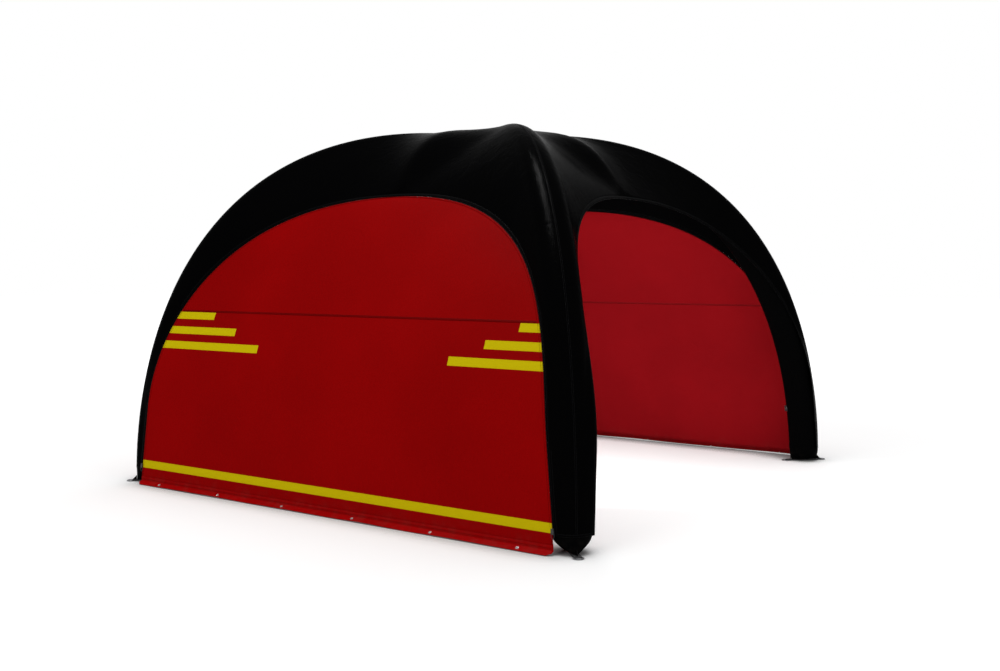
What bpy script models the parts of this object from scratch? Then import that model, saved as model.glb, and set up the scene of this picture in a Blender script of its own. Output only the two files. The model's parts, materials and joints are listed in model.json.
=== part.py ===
"""Inflatable tent: four air-filled legs meet at a crown and carry one sewn roof.

Three sides are closed by zipped walls with a ground hem, the fourth is open.
Metres, +Z up, origin on the ground under the crown. The front wall faces -Y
and the open side faces +X. A leg is modelled in its own frame, with +X from
the crown towards the foot, and a wall in its own frame, facing -Y.
"""

import math

import bmesh
import bpy
from mathutils import Matrix, Vector

# Leg: centre line in the upright plane through the diagonal
FOOT_REACH = 2.83
FOOT_HANDLE_HEIGHT = 0.774
SHOULDER_REACH = 2.558
SHOULDER_HEIGHT = 2.822
CROWN_REACH = 0.34
CROWN_HEIGHT = 2.70
FOOT_RADIUS = 0.124
CROWN_RADIUS = 0.149
PINCH_HEIGHT = 0.11
LEG_SIDES = 12
# Each pair is a share of the pinch height and of the tube's width there
PINCH_SHARES = ((0.0, 0.24), (0.35, 0.70))

# Layers of the leg
SLEEVE_THICKNESS = 0.0008
BLADDER_THICKNESS = 0.0008
LAYER_GAP = 0.0005
SLEEVE_CROWN_GAP = 0.0005
BLADDER_CROWN_GAP = 0.0025

# Roof edge, which is also the zip line: straight from the foot, then an arch. The
# straight run is measured from the leg's line: ahead away from the crown, and beside it
EDGE_FOOT_AHEAD = 0.0762
EDGE_FOOT_BESIDE = 0.1230
ZIP_RUN_AHEAD = 0.0591
ZIP_RUN_BESIDE = 0.1541
ZIP_RUN_HEIGHT = 0.62
ARCH_HANDLE = 0.80
ARCH_SHOULDER_HALF = 1.53
ARCH_SHOULDER_OUT = 1.40
ARCH_TOP_OUT = 1.27
ARCH_TOP_HEIGHT = 2.264
VALLEY_FULLNESS = 4.0
ROOF_THICKNESS = 0.001
ROOF_SPAN_COLUMNS = 3

# Rows of the roof and rings of the legs
RUN_STEPS = 2
ARCH_STEPS = 8
SHOULDER_STEPS = 2
LEVEL_STEPS = 2

# Zips
ZIP_RADIUS = 0.005
ZIP_GAP = 0.0004
SLIDER_WIDTH = 0.016
SLIDER_LENGTH = 0.034
SLIDER_BACK = 0.0015
SLIDER_FRONT = 0.012
SLIDER_GROOVE_GAP = 0.0005
SLIDER_START = 0.145
PULL_ROD_RADIUS = 0.0014
PULL_BORE_GAP = 0.0004
PULL_SIDE_GAP = 0.0008
PULL_LENGTH = 0.045

# Walls and their ground hems
WALL_THICKNESS = 0.001
WALL_BOTTOM = 0.03
HEM_THICKNESS = 0.0014
HEM_OVERLAP = 0.03
HEM_GAP = 0.0004
HEM_BEND = 0.004
HEM_FLARE = 0.0454
HEM_EDGE_HEIGHT = 0.0015
HEM_CHAMFER = 0.03
EYELET_RADIUS = 0.007
EYELET_MARGIN = 0.25
EYELET_COUNT = 6

# Foot strap, its rings and its gusset
STRAP_HALF_LENGTH = 0.165
STRAP_WIDTH = 0.05
STRAP_THICKNESS = 0.010
FOOT_GAP = 0.0004
RING_ROD_RADIUS = 0.003
RING_BORE_GAP = 0.0005
RING_HALF_WIDTH = 0.031
RING_STRAIGHT = 0.010
RING_CORNER = 0.004
GUSSET_LENGTH = 0.032
GUSSET_HEIGHT = 0.036
GUSSET_THICKNESS = 0.004

# Patch under the crown
PATCH_HALF = 0.17
PATCH_CORNER = 0.03
PATCH_THICKNESS = 0.0015

# Valve, with its height measured out from the sleeve
VALVE_HOLE_RADIUS = 0.0196
VALVE_NECK_RADIUS = 0.019
VALVE_FLANGE_RADIUS = 0.027
VALVE_FLANGE = 0.0025
VALVE_SEAT_GAP = 0.0008
VALVE_BOSS = 0.014
VALVE_CUP_RADIUS = 0.014
VALVE_FLOOR_TOP = 0.001
PLUNGER_RADIUS = 0.005
PLUNGER_GAP = 0.0004
PLUNGER_TOP = 0.009
PLUNGER_CHAMFER = 0.001
PLUNGER_SEAT_RADIUS = 0.011
PLUNGER_SEAT = 0.0025
CAP_RADIUS = 0.021
CAP_THICKNESS = 0.004
CAP_GAP = 0.0004
CAP_TAB_HALF = 0.005
CAP_TAB_THICKNESS = 0.003
HINGE_OUT = 0.0255
HINGE_BARREL_RADIUS = 0.0025
HINGE_BORE_GAP = 0.0004
EAR_NEAR = 0.0078
EAR_FAR = 0.0112
EAR_HALF = 0.004

CUT_OVERRUN = 0.01
MERGE_DISTANCE = 0.00001
HALVING_STEPS = 50

# Sides of round pieces, and the angles in degrees past which a shaded edge is sharp
ROUND_SIDES = 16
SMALL_SIDES = 8
PLUNGER_SIDES = 12
EYELET_SIDES = 12
BEND_STEPS = 6
PATCH_CORNER_STEPS = 3
WIRE_RESOLUTION = 1
SHARP_ANGLE = 30.0
ROOF_SHARP_ANGLE = 50.0
WIRE_SHARP_ANGLE = 60.0

LEG_ANGLES = {
    "front_right": -45.0,
    "back_right": 45.0,
    "back_left": 135.0,
    "front_left": -135.0,
}
WALL_ANGLES = {"front": 0.0, "back": 180.0, "left": -90.0, "right": 90.0}
CLOSED_SIDES = ("front", "back", "left")

for old in list(bpy.data.objects):
    bpy.data.objects.remove(old, do_unlink=True)

tent = bpy.data.collections.new("inflatable_tent")
cutters = bpy.data.collections.new("cutters")
bpy.context.scene.collection.children.link(tent)
bpy.context.scene.collection.children.link(cutters)


def material(name, color, roughness, metallic=0.0):
    made = bpy.data.materials.new(name)
    made.use_nodes = True
    shader = made.node_tree.nodes["Principled BSDF"]
    shader.inputs["Base Color"].default_value = (*color, 1.0)
    shader.inputs["Roughness"].default_value = roughness
    shader.inputs["Metallic"].default_value = metallic
    made.diffuse_color = (*color, 1.0)
    return made


BLACK_CLOTH = material("black_cloth", (0.012, 0.012, 0.013), 0.62)
RED_CLOTH = material("red_cloth", (0.22, 0.004, 0.004), 0.6)
RED_HEM = material("red_hem", (0.30, 0.003, 0.003), 0.5)
AIR_FILM = material("air_film", (0.55, 0.56, 0.57), 0.35)
ZIP_NYLON = material("zip_nylon", (0.02, 0.02, 0.02), 0.45)
WEBBING = material("webbing", (0.03, 0.03, 0.03), 0.8)
STEEL = material("ring_steel", (0.55, 0.56, 0.58), 0.25, 1.0)
VALVE_PLASTIC = material("valve_plastic", (0.05, 0.05, 0.055), 0.4)


def put(name, mesh, finish, parent=None, matrix=None):
    """Add one sub-part, smooth shaded, under its leg's or wall's empty."""
    made = bpy.data.objects.new(name, mesh)
    if not mesh.materials:
        mesh.materials.append(finish)
    tent.objects.link(made)
    made.parent = parent
    if matrix is not None:
        made.matrix_local = matrix
    return made


def smooth(mesh, angle=SHARP_ANGLE):
    mesh.shade_smooth()
    mesh.set_sharp_from_angle(angle=math.radians(angle))


def mesh_of(bm, name):
    """Turn a bmesh into a mesh and free it."""
    mesh = bpy.data.meshes.new(name)
    bm.to_mesh(mesh)
    bm.free()
    return mesh


def baked(made, name, weld=True):
    """Evaluate an object with its modifiers, weld it and return its mesh alone."""
    bpy.context.view_layer.update()
    graph = bpy.context.evaluated_depsgraph_get()
    mesh = bpy.data.meshes.new_from_object(made.evaluated_get(graph))
    mesh.transform(made.matrix_world)
    mesh.name = name
    if weld:
        bm = bmesh.new()
        bm.from_mesh(mesh)
        bmesh.ops.remove_doubles(bm, verts=bm.verts, dist=MERGE_DISTANCE)
        bm.to_mesh(mesh)
        bm.free()
    bpy.data.objects.remove(made, do_unlink=True)
    return mesh


def scratch(name, data):
    made = bpy.data.objects.new(name, data)
    bpy.context.scene.collection.objects.link(made)
    return made


def shelled(mesh, thickness, offset):
    """Give an open skin its thickness, outwards for offset 1, inwards for -1."""
    made = scratch(mesh.name, mesh)
    shell = made.modifiers.new("thickness", "SOLIDIFY")
    shell.thickness = thickness
    shell.offset = offset
    shell.use_even_offset = True
    return baked(made, mesh.name, weld=False)


def combined(mesh, tools, operation):
    """Cut or join a mesh with tool meshes, each placed by its own matrix."""
    made = scratch(mesh.name, mesh)
    for index, (tool, matrix) in enumerate(tools):
        other = bpy.data.objects.new(f"{mesh.name}_tool_{index}", tool)
        other.matrix_world = matrix
        other.hide_render = True
        other.display_type = "WIRE"
        cutters.objects.link(other)
        step = made.modifiers.new("step", "BOOLEAN")
        step.operation = operation
        step.object = other
    return baked(made, mesh.name, weld=False)


def rod(name, radius, length, sides=ROUND_SIDES):
    """A solid round bar along Z, centred on the origin."""
    bm = bmesh.new()
    bmesh.ops.create_cone(
        bm, cap_ends=True, segments=sides, radius1=radius, radius2=radius, depth=length
    )
    return mesh_of(bm, name)


def block(name, low, high):
    """A box between two corners."""
    low, high = Vector(low), Vector(high)
    bm = bmesh.new()
    bmesh.ops.create_cube(bm, size=1.0)
    bmesh.ops.scale(bm, verts=bm.verts, vec=high - low)
    bmesh.ops.translate(bm, verts=bm.verts, vec=(low + high) / 2)
    return mesh_of(bm, name)


def plate(name, outlines, thickness, turn=None):
    """A flat outline, with any holes after it, extruded to its thickness."""
    curve = bpy.data.curves.new(name, "CURVE")
    curve.dimensions = "2D"
    curve.fill_mode = "BOTH"
    curve.extrude = thickness / 2
    for outline in outlines:
        spline = curve.splines.new("POLY")
        spline.points.add(len(outline) - 1)
        for point, (x, y) in zip(spline.points, outline):
            point.co = (x, y, 0.0, 1.0)
        spline.use_cyclic_u = True
    made = scratch(name, curve)
    if turn is not None:
        made.matrix_world = turn
    return baked(made, name)


def wire(name, points, radius, cyclic):
    """A round wire through the points."""
    curve = bpy.data.curves.new(name, "CURVE")
    curve.dimensions = "3D"
    curve.bevel_depth = radius
    curve.bevel_resolution = WIRE_RESOLUTION
    curve.use_fill_caps = not cyclic
    spline = curve.splines.new("POLY")
    spline.points.add(len(points) - 1)
    for point, place in zip(spline.points, points):
        point.co = (*place, 1.0)
    spline.use_cyclic_u = cyclic
    return baked(scratch(name, curve), name)


def turned(name, profile, sides=ROUND_SIDES, closed=True):
    """A turned shape from a profile of (radius, height) points."""
    bm = bmesh.new()
    verts = [bm.verts.new((r, 0.0, z)) for r, z in profile]
    pairs = list(zip(verts, verts[1:]))
    if closed:
        pairs.append((verts[-1], verts[0]))
    for first, second in pairs:
        bm.edges.new((first, second))
    made = scratch(name, mesh_of(bm, name))
    screw = made.modifiers.new("turn", "SCREW")
    screw.steps = sides
    screw.render_steps = sides
    screw.use_merge_vertices = True
    screw.merge_threshold = MERGE_DISTANCE
    return baked(made, name)


def arc(centre, radius, first, last, steps):
    """Points on an arc, with its angles in degrees."""
    angles = [math.radians(first + (last - first) * i / steps) for i in range(steps + 1)]
    return [
        (centre[0] + radius * math.cos(a), centre[1] + radius * math.sin(a))
        for a in angles
    ]


def cubic(points, s):
    a, b, c, d = points
    t = 1 - s
    return a * t**3 + b * 3 * t * t * s + c * 3 * t * s * s + d * s**3


def cubic_heading(points, s):
    a, b, c, d = points
    t = 1 - s
    return ((b - a) * t * t + (c - b) * 2 * t * s + (d - c) * s * s).normalized()


def crossing(rises, low, high):
    """Where a function that rises through zero meets it, by halving."""
    for _ in range(HALVING_STEPS):
        middle = (low + high) / 2
        if rises(middle) < 0:
            low = middle
        else:
            high = middle
    return (low + high) / 2


# Leg centre line: s runs 0 to 1 from the foot to the level part, then to 2 at the crown
LEG_LINE = (
    Vector((FOOT_REACH, 0.0, 0.0)),
    Vector((FOOT_REACH, 0.0, FOOT_HANDLE_HEIGHT)),
    Vector((SHOULDER_REACH, 0.0, SHOULDER_HEIGHT)),
    Vector((CROWN_REACH, 0.0, CROWN_HEIGHT)),
)
ACROSS = Vector((0.0, 1.0, 0.0))


def leg_centre(s):
    if s <= 1:
        return cubic(LEG_LINE, s)
    return Vector((CROWN_REACH * (2 - s), 0.0, CROWN_HEIGHT))


def leg_heading(s):
    if s < 1:
        return cubic_heading(LEG_LINE, s)
    return Vector((-1.0, 0.0, 0.0))


def leg_outward(s):
    heading = leg_heading(s)
    return Vector((heading.z, 0.0, -heading.x))


def leg_radius(s):
    return FOOT_RADIUS + (CROWN_RADIUS - FOOT_RADIUS) * min(s, 1.0)


def around(s, angle, grow=0.0):
    """A point on the leg at an angle from its ridge."""
    reach = leg_radius(s) + grow
    aside = ACROSS * math.sin(angle)
    return leg_centre(s) + (leg_outward(s) * math.cos(angle) + aside) * reach


def beside_leg(height, ahead, beside):
    """A place beside a leg's line, in the frame of the wall there."""
    s = crossing(lambda s: leg_centre(s).z - height, 0.0, 1.0)
    reach = leg_centre(s).x + ahead
    half, out = (reach - beside) / math.sqrt(2), (reach + beside) / math.sqrt(2)
    return Vector((half, out, height))


# Roof edge in a wall's frame as (half width, distance out, height): v runs 0 to 1 on the
# straight zip run, to 2 at the top of the arch, and to 3 up the middle of the roof panel
EDGE_FOOT = beside_leg(0.0, EDGE_FOOT_AHEAD, EDGE_FOOT_BESIDE)
EDGE_RUN = beside_leg(ZIP_RUN_HEIGHT, ZIP_RUN_AHEAD, ZIP_RUN_BESIDE)
RUN_HEADING = (EDGE_RUN - EDGE_FOOT).normalized()
ARCH_LINE = (
    EDGE_RUN,
    EDGE_RUN + RUN_HEADING * ARCH_HANDLE,
    Vector((ARCH_SHOULDER_HALF, ARCH_SHOULDER_OUT, ARCH_TOP_HEIGHT)),
    Vector((0.0, ARCH_TOP_OUT, ARCH_TOP_HEIGHT)),
)
ROOF_TOP = CROWN_HEIGHT + CROWN_RADIUS + LAYER_GAP


def edge_point(v):
    if v <= 1:
        return EDGE_FOOT.lerp(EDGE_RUN, v)
    if v <= 2:
        return cubic(ARCH_LINE, v - 1)
    share = 3 - v
    fall = (ROOF_TOP - ARCH_TOP_HEIGHT) * share**VALLEY_FULLNESS
    return Vector((0.0, ARCH_TOP_OUT * share, ROOF_TOP - fall))


def in_leg(place):
    """A wall-frame point in the frame of the leg beside it."""
    half, out, height = place
    return Vector(((half + out) / math.sqrt(2), (out - half) / math.sqrt(2), height))


def edge_beside(s):
    """The roof edge's v where the plane across the leg at s meets it."""
    centre, heading = leg_centre(s), leg_heading(s)
    return crossing(lambda v: (in_leg(edge_point(v)) - centre).dot(heading), 0.0, 3.0)


def leg_beside(v):
    """The leg's s whose plane across the leg meets the roof edge at v."""
    place = in_leg(edge_point(v))
    return crossing(lambda s: -(place - leg_centre(s)).dot(leg_heading(s)), 0.0, 1.0)


def spread(first, last, steps):
    return [first + (last - first) * i / steps for i in range(1, steps + 1)]


LOW_S = crossing(lambda s: leg_centre(s).z - PINCH_HEIGHT, 0.0, 1.0)
RUN_S = leg_beside(1.0)
TOP_S = leg_beside(2.0)
STATIONS = (
    [LOW_S]
    + spread(LOW_S, RUN_S, RUN_STEPS)
    + spread(RUN_S, TOP_S, ARCH_STEPS)
    + spread(TOP_S, 1.0, SHOULDER_STEPS)
    + spread(1.0, 2.0, LEVEL_STEPS)
)
ARCH_ROWS = 1 + RUN_STEPS + ARCH_STEPS
# The zip line's stations, where roof, zip and wall share their corners
EDGE_VS = [edge_beside(s) for s in STATIONS[: ARCH_ROWS - 1]] + [2.0]
EDGE_POINTS = [edge_point(v) for v in EDGE_VS]
SEAM = ZIP_RADIUS + ZIP_GAP


def mirrored(place):
    return Vector((-place.x, place.y, place.z))


EDGE_LINE = EDGE_POINTS + [mirrored(p) for p in reversed(EDGE_POINTS[:-1])]


def edge_headings():
    """Unit heading of the zip line at each of its stations up to the top."""
    first = EDGE_LINE[1] - EDGE_LINE[0]
    found = [first.normalized()]
    for i in range(1, len(EDGE_POINTS)):
        before = (EDGE_LINE[i] - EDGE_LINE[i - 1]).normalized()
        after = (EDGE_LINE[i + 1] - EDGE_LINE[i]).normalized()
        found.append((before + after).normalized())
    return found


EDGE_HEADINGS = edge_headings()


def leg_rings(inset):
    """Rings of a leg tube from its pinched end up to the crown."""
    angles = [2 * math.pi * j / LEG_SIDES for j in range(LEG_SIDES)]
    base = STRAP_THICKNESS + FOOT_GAP
    rings = []
    for height_share, width_share in PINCH_SHARES:
        height = base + (PINCH_HEIGHT - base) * height_share + inset
        wide = FOOT_RADIUS * width_share - inset
        deep = FOOT_RADIUS - inset
        rings.append(
            [
                Vector((FOOT_REACH + deep * math.cos(a), wide * math.sin(a), height))
                for a in angles
            ]
        )
    for index, s in enumerate(STATIONS):
        lift = Vector((0.0, 0.0, inset if index == 0 else 0.0))
        rings.append([around(s, a, -inset) + lift for a in angles])
    return rings


def grid_faces(bm, rows, closed, flip=False):
    """Join rows of vertices with quads."""
    count = len(rows[0])
    for low, high in zip(rows, rows[1:]):
        for j in range(count if closed else count - 1):
            k = (j + 1) % count
            corners = [low[k], high[k], high[j], low[j]]
            if flip:
                corners = [high[j], high[k], low[k], low[j]]
            bm.faces.new(corners)


def leg_tube(name, inset, crown_gap, closed_top):
    """A leg's skin, mitred at the crown where the four legs meet."""
    bm = bmesh.new()
    rings = [[bm.verts.new(p) for p in ring] for ring in leg_rings(inset)]
    grid_faces(bm, rings, closed=True)
    bm.faces.new(reversed(rings[0]))
    if closed_top:
        bm.faces.new(rings[-1])
    for side in (-1.0, 1.0):
        normal = Vector((1.0, side, 0.0)).normalized()
        geometry = list(bm.verts) + list(bm.edges) + list(bm.faces)
        cut = bmesh.ops.bisect_plane(
            bm,
            geom=geometry,
            dist=MERGE_DISTANCE,
            plane_co=normal * crown_gap,
            plane_no=normal,
            clear_inner=True,
        )
        if closed_top:
            edges = [e for e in cut["geom_cut"] if isinstance(e, bmesh.types.BMEdge)]
            bmesh.ops.edgenet_fill(bm, edges=edges)
    if closed_top:
        bmesh.ops.recalc_face_normals(bm, faces=bm.faces)
    return mesh_of(bm, name)


# The valve sits on the facet of the tube beside its inner line, low on the leg
VALVE_RING = len(PINCH_SHARES) + 1
SLEEVE_RINGS = leg_rings(0.0)
VALVE_FACET = LEG_SIDES // 2 - 1
VALVE_CORNERS = [
    SLEEVE_RINGS[VALVE_RING + i][VALVE_FACET + j] for i in range(2) for j in range(2)
]


def valve_matrix():
    """The valve's place on a leg: +Z out of the sleeve, +Y up along the leg."""
    low_a, low_b, high_a, high_b = VALVE_CORNERS
    centre = (low_a + low_b + high_a + high_b) / 4
    up = (high_a + high_b - low_a - low_b).normalized()
    out = (low_b - low_a).cross(up).normalized()
    side = up.cross(out)
    turn = Matrix((side, up, out)).transposed()
    return Matrix.Translation(centre) @ turn.to_4x4()


VALVE_PLACE = valve_matrix()

# Legs: an air bladder inside a cloth sleeve, each with a hole for its valve
BLADDER_INSET = SLEEVE_THICKNESS + LAYER_GAP
valve_hole = rod("valve_hole", VALVE_HOLE_RADIUS, 2 * CUT_OVERRUN)
sleeve_mesh = shelled(
    leg_tube("leg_sleeve", 0.0, SLEEVE_CROWN_GAP, False), SLEEVE_THICKNESS, -1.0
)
sleeve_mesh = combined(sleeve_mesh, [(valve_hole, VALVE_PLACE)], "DIFFERENCE")
bladder_mesh = shelled(
    leg_tube("leg_bladder", BLADDER_INSET, BLADDER_CROWN_GAP, True),
    BLADDER_THICKNESS,
    -1.0,
)
bladder_mesh = combined(bladder_mesh, [(valve_hole, VALVE_PLACE)], "DIFFERENCE")
smooth(sleeve_mesh)
smooth(bladder_mesh)


# Valve body: a flanged neck clamps bladder and sleeve, with ears for the cap's hinge
WALL_STACK = SLEEVE_THICKNESS + LAYER_GAP + BLADDER_THICKNESS
FLANGE_LOW = VALVE_SEAT_GAP
FLANGE_HIGH = FLANGE_LOW + VALVE_FLANGE
INNER_HIGH = -WALL_STACK - VALVE_SEAT_GAP
INNER_LOW = INNER_HIGH - VALVE_FLANGE
STEM_BORE = PLUNGER_RADIUS + PLUNGER_GAP
HINGE_HEIGHT = VALVE_BOSS + CAP_GAP + CAP_THICKNESS / 2
EAR_TOP = HINGE_HEIGHT + EAR_HALF
BARREL_LENGTH = 2 * EAR_FAR
HINGE_BORE = HINGE_BARREL_RADIUS + HINGE_BORE_GAP


def across_x(place):
    return Matrix.Translation(place) @ Matrix.Rotation(math.radians(90), 4, "Y")


valve_mesh = turned(
    "valve_body",
    [
        (VALVE_NECK_RADIUS, VALVE_BOSS),
        (VALVE_NECK_RADIUS, FLANGE_HIGH),
        (VALVE_FLANGE_RADIUS, FLANGE_HIGH),
        (VALVE_FLANGE_RADIUS, FLANGE_LOW),
        (VALVE_NECK_RADIUS, FLANGE_LOW),
        (VALVE_NECK_RADIUS, INNER_HIGH),
        (VALVE_FLANGE_RADIUS, INNER_HIGH),
        (VALVE_FLANGE_RADIUS, INNER_LOW),
        (STEM_BORE, INNER_LOW),
        (STEM_BORE, VALVE_FLOOR_TOP),
        (VALVE_CUP_RADIUS, VALVE_FLOOR_TOP),
        (VALVE_CUP_RADIUS, VALVE_BOSS),
    ],
)
ears = [
    block(
        f"ear_{index}",
        (near, HINGE_OUT - EAR_HALF, FLANGE_HIGH - VALVE_FLANGE / 2),
        (far, HINGE_OUT + EAR_HALF, EAR_TOP),
    )
    for index, (near, far) in enumerate(((EAR_NEAR, EAR_FAR), (-EAR_FAR, -EAR_NEAR)))
]
hinge_bore = rod("hinge_bore", HINGE_BORE, BARREL_LENGTH + 2 * CUT_OVERRUN, SMALL_SIDES)
hinge_place = Vector((0.0, HINGE_OUT, HINGE_HEIGHT))
valve_mesh = combined(valve_mesh, [(ear, Matrix()) for ear in ears], "UNION")
valve_mesh = combined(valve_mesh, [(hinge_bore, across_x(hinge_place))], "DIFFERENCE")
smooth(valve_mesh)

# Valve cap, with its origin on the hinge
cap_mesh = rod("valve_cap", CAP_RADIUS, CAP_THICKNESS)
cap_mesh.transform(Matrix.Translation((0.0, -HINGE_OUT, 0.0)))
tab = block(
    "cap_tab",
    (-CAP_TAB_HALF, -HINGE_OUT + CAP_RADIUS / 2, -CAP_TAB_THICKNESS / 2),
    (CAP_TAB_HALF, 0.0, CAP_TAB_THICKNESS / 2),
)
barrel = rod("cap_barrel", HINGE_BARREL_RADIUS, BARREL_LENGTH, SMALL_SIDES)
cap_mesh = combined(
    cap_mesh, [(tab, Matrix()), (barrel, across_x(Vector()))], "UNION"
)
smooth(cap_mesh)

# Spring-loaded plunger, which seals from inside and opens when pushed in
SEAT_TOP = INNER_LOW - PLUNGER_GAP
plunger_mesh = turned(
    "valve_plunger",
    [
        (0.0, PLUNGER_TOP),
        (PLUNGER_RADIUS - PLUNGER_CHAMFER, PLUNGER_TOP),
        (PLUNGER_RADIUS, PLUNGER_TOP - PLUNGER_CHAMFER),
        (PLUNGER_RADIUS, SEAT_TOP),
        (PLUNGER_SEAT_RADIUS, SEAT_TOP),
        (PLUNGER_SEAT_RADIUS, SEAT_TOP - PLUNGER_SEAT),
        (0.0, SEAT_TOP - PLUNGER_SEAT),
    ],
    sides=PLUNGER_SIDES,
    closed=False,
)
smooth(plunger_mesh)

# Foot strap: a flat loop of webbing on the ground, with a bore at each end for a ring
STRAP_MIDDLE = STRAP_THICKNESS / 2
RING_REACH = STRAP_HALF_LENGTH - STRAP_MIDDLE
RING_BORE = RING_ROD_RADIUS + RING_BORE_GAP
UPRIGHT = Matrix.Rotation(math.radians(90), 4, "X")
strap_outline = arc((RING_REACH, STRAP_MIDDLE), STRAP_MIDDLE, -90, 90, BEND_STEPS)
strap_outline += arc((-RING_REACH, STRAP_MIDDLE), STRAP_MIDDLE, 90, 270, BEND_STEPS)
ring_bores = [
    arc((x, STRAP_MIDDLE), RING_BORE, 0, 360, SMALL_SIDES)[:-1]
    for x in (RING_REACH, -RING_REACH)
]
strap_mesh = plate("foot_strap", [strap_outline] + ring_bores, STRAP_WIDTH, UPRIGHT)
smooth(strap_mesh)

# Ring in a strap end: its bar lies on the hinge axis and the bow points away
ring_points = [(0.0, -RING_HALF_WIDTH + RING_CORNER), (0.0, RING_HALF_WIDTH - RING_CORNER)]
ring_points += arc((RING_STRAIGHT, 0.0), RING_HALF_WIDTH, 90, -90, BEND_STEPS)
ring_points.insert(2, (RING_CORNER, RING_HALF_WIDTH))
ring_points.append((RING_CORNER, -RING_HALF_WIDTH))
ring_mesh = wire(
    "foot_ring", [(x, y, 0.0) for x, y in ring_points], RING_ROD_RADIUS, True
)
smooth(ring_mesh, WIRE_SHARP_ANGLE)

# Gusset between the leg's outer face and the strap
gusset_foot = FOOT_REACH + FOOT_RADIUS + FOOT_GAP
gusset_base = STRAP_THICKNESS + FOOT_GAP
gusset_mesh = plate(
    "foot_gusset",
    [
        [
            (gusset_foot, gusset_base),
            (gusset_foot + GUSSET_LENGTH, gusset_base),
            (gusset_foot + GUSSET_LENGTH, gusset_base + GUSSET_THICKNESS),
            (gusset_foot, gusset_base + GUSSET_HEIGHT),
        ]
    ],
    GUSSET_THICKNESS,
    UPRIGHT,
)

for corner, degrees in LEG_ANGLES.items():
    frame = bpy.data.objects.new(f"leg_frame_{corner}", None)
    frame.rotation_euler.z = math.radians(degrees)
    tent.objects.link(frame)
    put(f"leg_sleeve_{corner}", sleeve_mesh, BLACK_CLOTH, frame)
    put(f"leg_bladder_{corner}", bladder_mesh, AIR_FILM, frame)
    put(f"valve_body_{corner}", valve_mesh, VALVE_PLASTIC, frame, VALVE_PLACE)
    put(f"valve_plunger_{corner}", plunger_mesh, VALVE_PLASTIC, frame, VALVE_PLACE)
    hinge = VALVE_PLACE @ Matrix.Translation(hinge_place)
    put(f"valve_cap_{corner}", cap_mesh, VALVE_PLASTIC, frame, hinge)
    foot = Matrix.Translation((FOOT_REACH, 0.0, 0.0))
    put(f"foot_strap_{corner}", strap_mesh, WEBBING, frame, foot)
    put(f"foot_gusset_{corner}", gusset_mesh, BLACK_CLOTH, frame)
    for end, side in (("outer", 1.0), ("inner", -1.0)):
        place = Vector((FOOT_REACH + side * RING_REACH, 0.0, STRAP_MIDDLE))
        turn = Matrix.Rotation(0.0 if side > 0 else math.pi, 4, "Z")
        put(
            f"foot_ring_{end}_{corner}",
            ring_mesh,
            STEEL,
            frame,
            Matrix.Translation(place) @ turn,
        )


# Roof: one sewn skin over the four legs, a quarter for each leg, from ridge to edge
def wrap_points(s):
    """Corners of the sleeve that the roof can lie on, from the ridge down."""
    steps = LEG_SIDES // 4
    return [around(s, 2 * math.pi * j / LEG_SIDES, LAYER_GAP) for j in range(steps + 1)]


def last_touch(s, wraps, edge):
    """The wrap corner where a tight skin from the edge first touches the tube."""
    outward = leg_outward(s)

    def flat(place):
        offset = place - edge
        return offset.dot(ACROSS), offset.dot(outward)

    best = len(wraps) - 1
    for j in range(len(wraps) - 2, -1, -1):
        x, y = flat(wraps[j])
        best_x, best_y = flat(wraps[best])
        if x * best_y - y * best_x > 0:
            best = j
    return best


def roof_row(index, s):
    """One row of the roof's quarter, across the leg."""
    wraps = wrap_points(s)
    if index < ARCH_ROWS:
        edge = in_leg(EDGE_POINTS[index])
    else:
        edge = in_leg(edge_point(edge_beside(s)))
    touch = last_touch(s, wraps, edge)
    if index < ARCH_ROWS - 1:
        run = (edge - wraps[touch]).normalized()
        heading = in_leg(EDGE_HEADINGS[index])
        slant = math.sqrt(1 - run.dot(heading) ** 2)
        edge = edge - run * (SEAM / slant)
    elif index == ARCH_ROWS - 1:
        above = in_leg(edge_point(edge_beside(STATIONS[ARCH_ROWS])))
        edge = edge + (above - edge).normalized() * SEAM
    columns = len(wraps) - 1 + ROOF_SPAN_COLUMNS
    row = []
    for j in range(columns + 1):
        if j <= touch:
            row.append(wraps[j])
        else:
            share = (j - touch) / (columns - touch)
            row.append(wraps[touch].lerp(edge, share))
    return row


def taut_faces(bm, rows, flip):
    """Join rows of vertices with triangles, each pair folded outwards."""
    for low, high in zip(rows, rows[1:]):
        for j in range(len(low) - 1):
            a, b, c, d = low[j + 1], high[j + 1], high[j], low[j]
            if flip:
                a, b, c, d = d, c, b, a
            normal = (c.co - a.co).cross(d.co - b.co)
            if (a.co + c.co - b.co - d.co).dot(normal) > 0:
                triangles = ((a, b, c), (a, c, d))
            else:
                triangles = ((a, b, d), (b, c, d))
            for triangle in triangles:
                bm.faces.new(triangle)


def roof_skin():
    bm = bmesh.new()
    rows = [roof_row(index, s) for index, s in enumerate(STATIONS)]
    for degrees in LEG_ANGLES.values():
        turn = Matrix.Rotation(math.radians(degrees), 3, "Z")
        for side in (1.0, -1.0):
            placed = [
                [bm.verts.new(turn @ Vector((p.x, p.y * side, p.z))) for p in row]
                for row in rows
            ]
            taut_faces(bm, placed, flip=side < 0)
    bmesh.ops.remove_doubles(bm, verts=bm.verts, dist=MERGE_DISTANCE)
    return mesh_of(bm, "roof_canopy")


roof_mesh = shelled(roof_skin(), ROOF_THICKNESS, 1.0)
smooth(roof_mesh, ROOF_SHARP_ANGLE)
put("roof_canopy", roof_mesh, BLACK_CLOTH)

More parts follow.
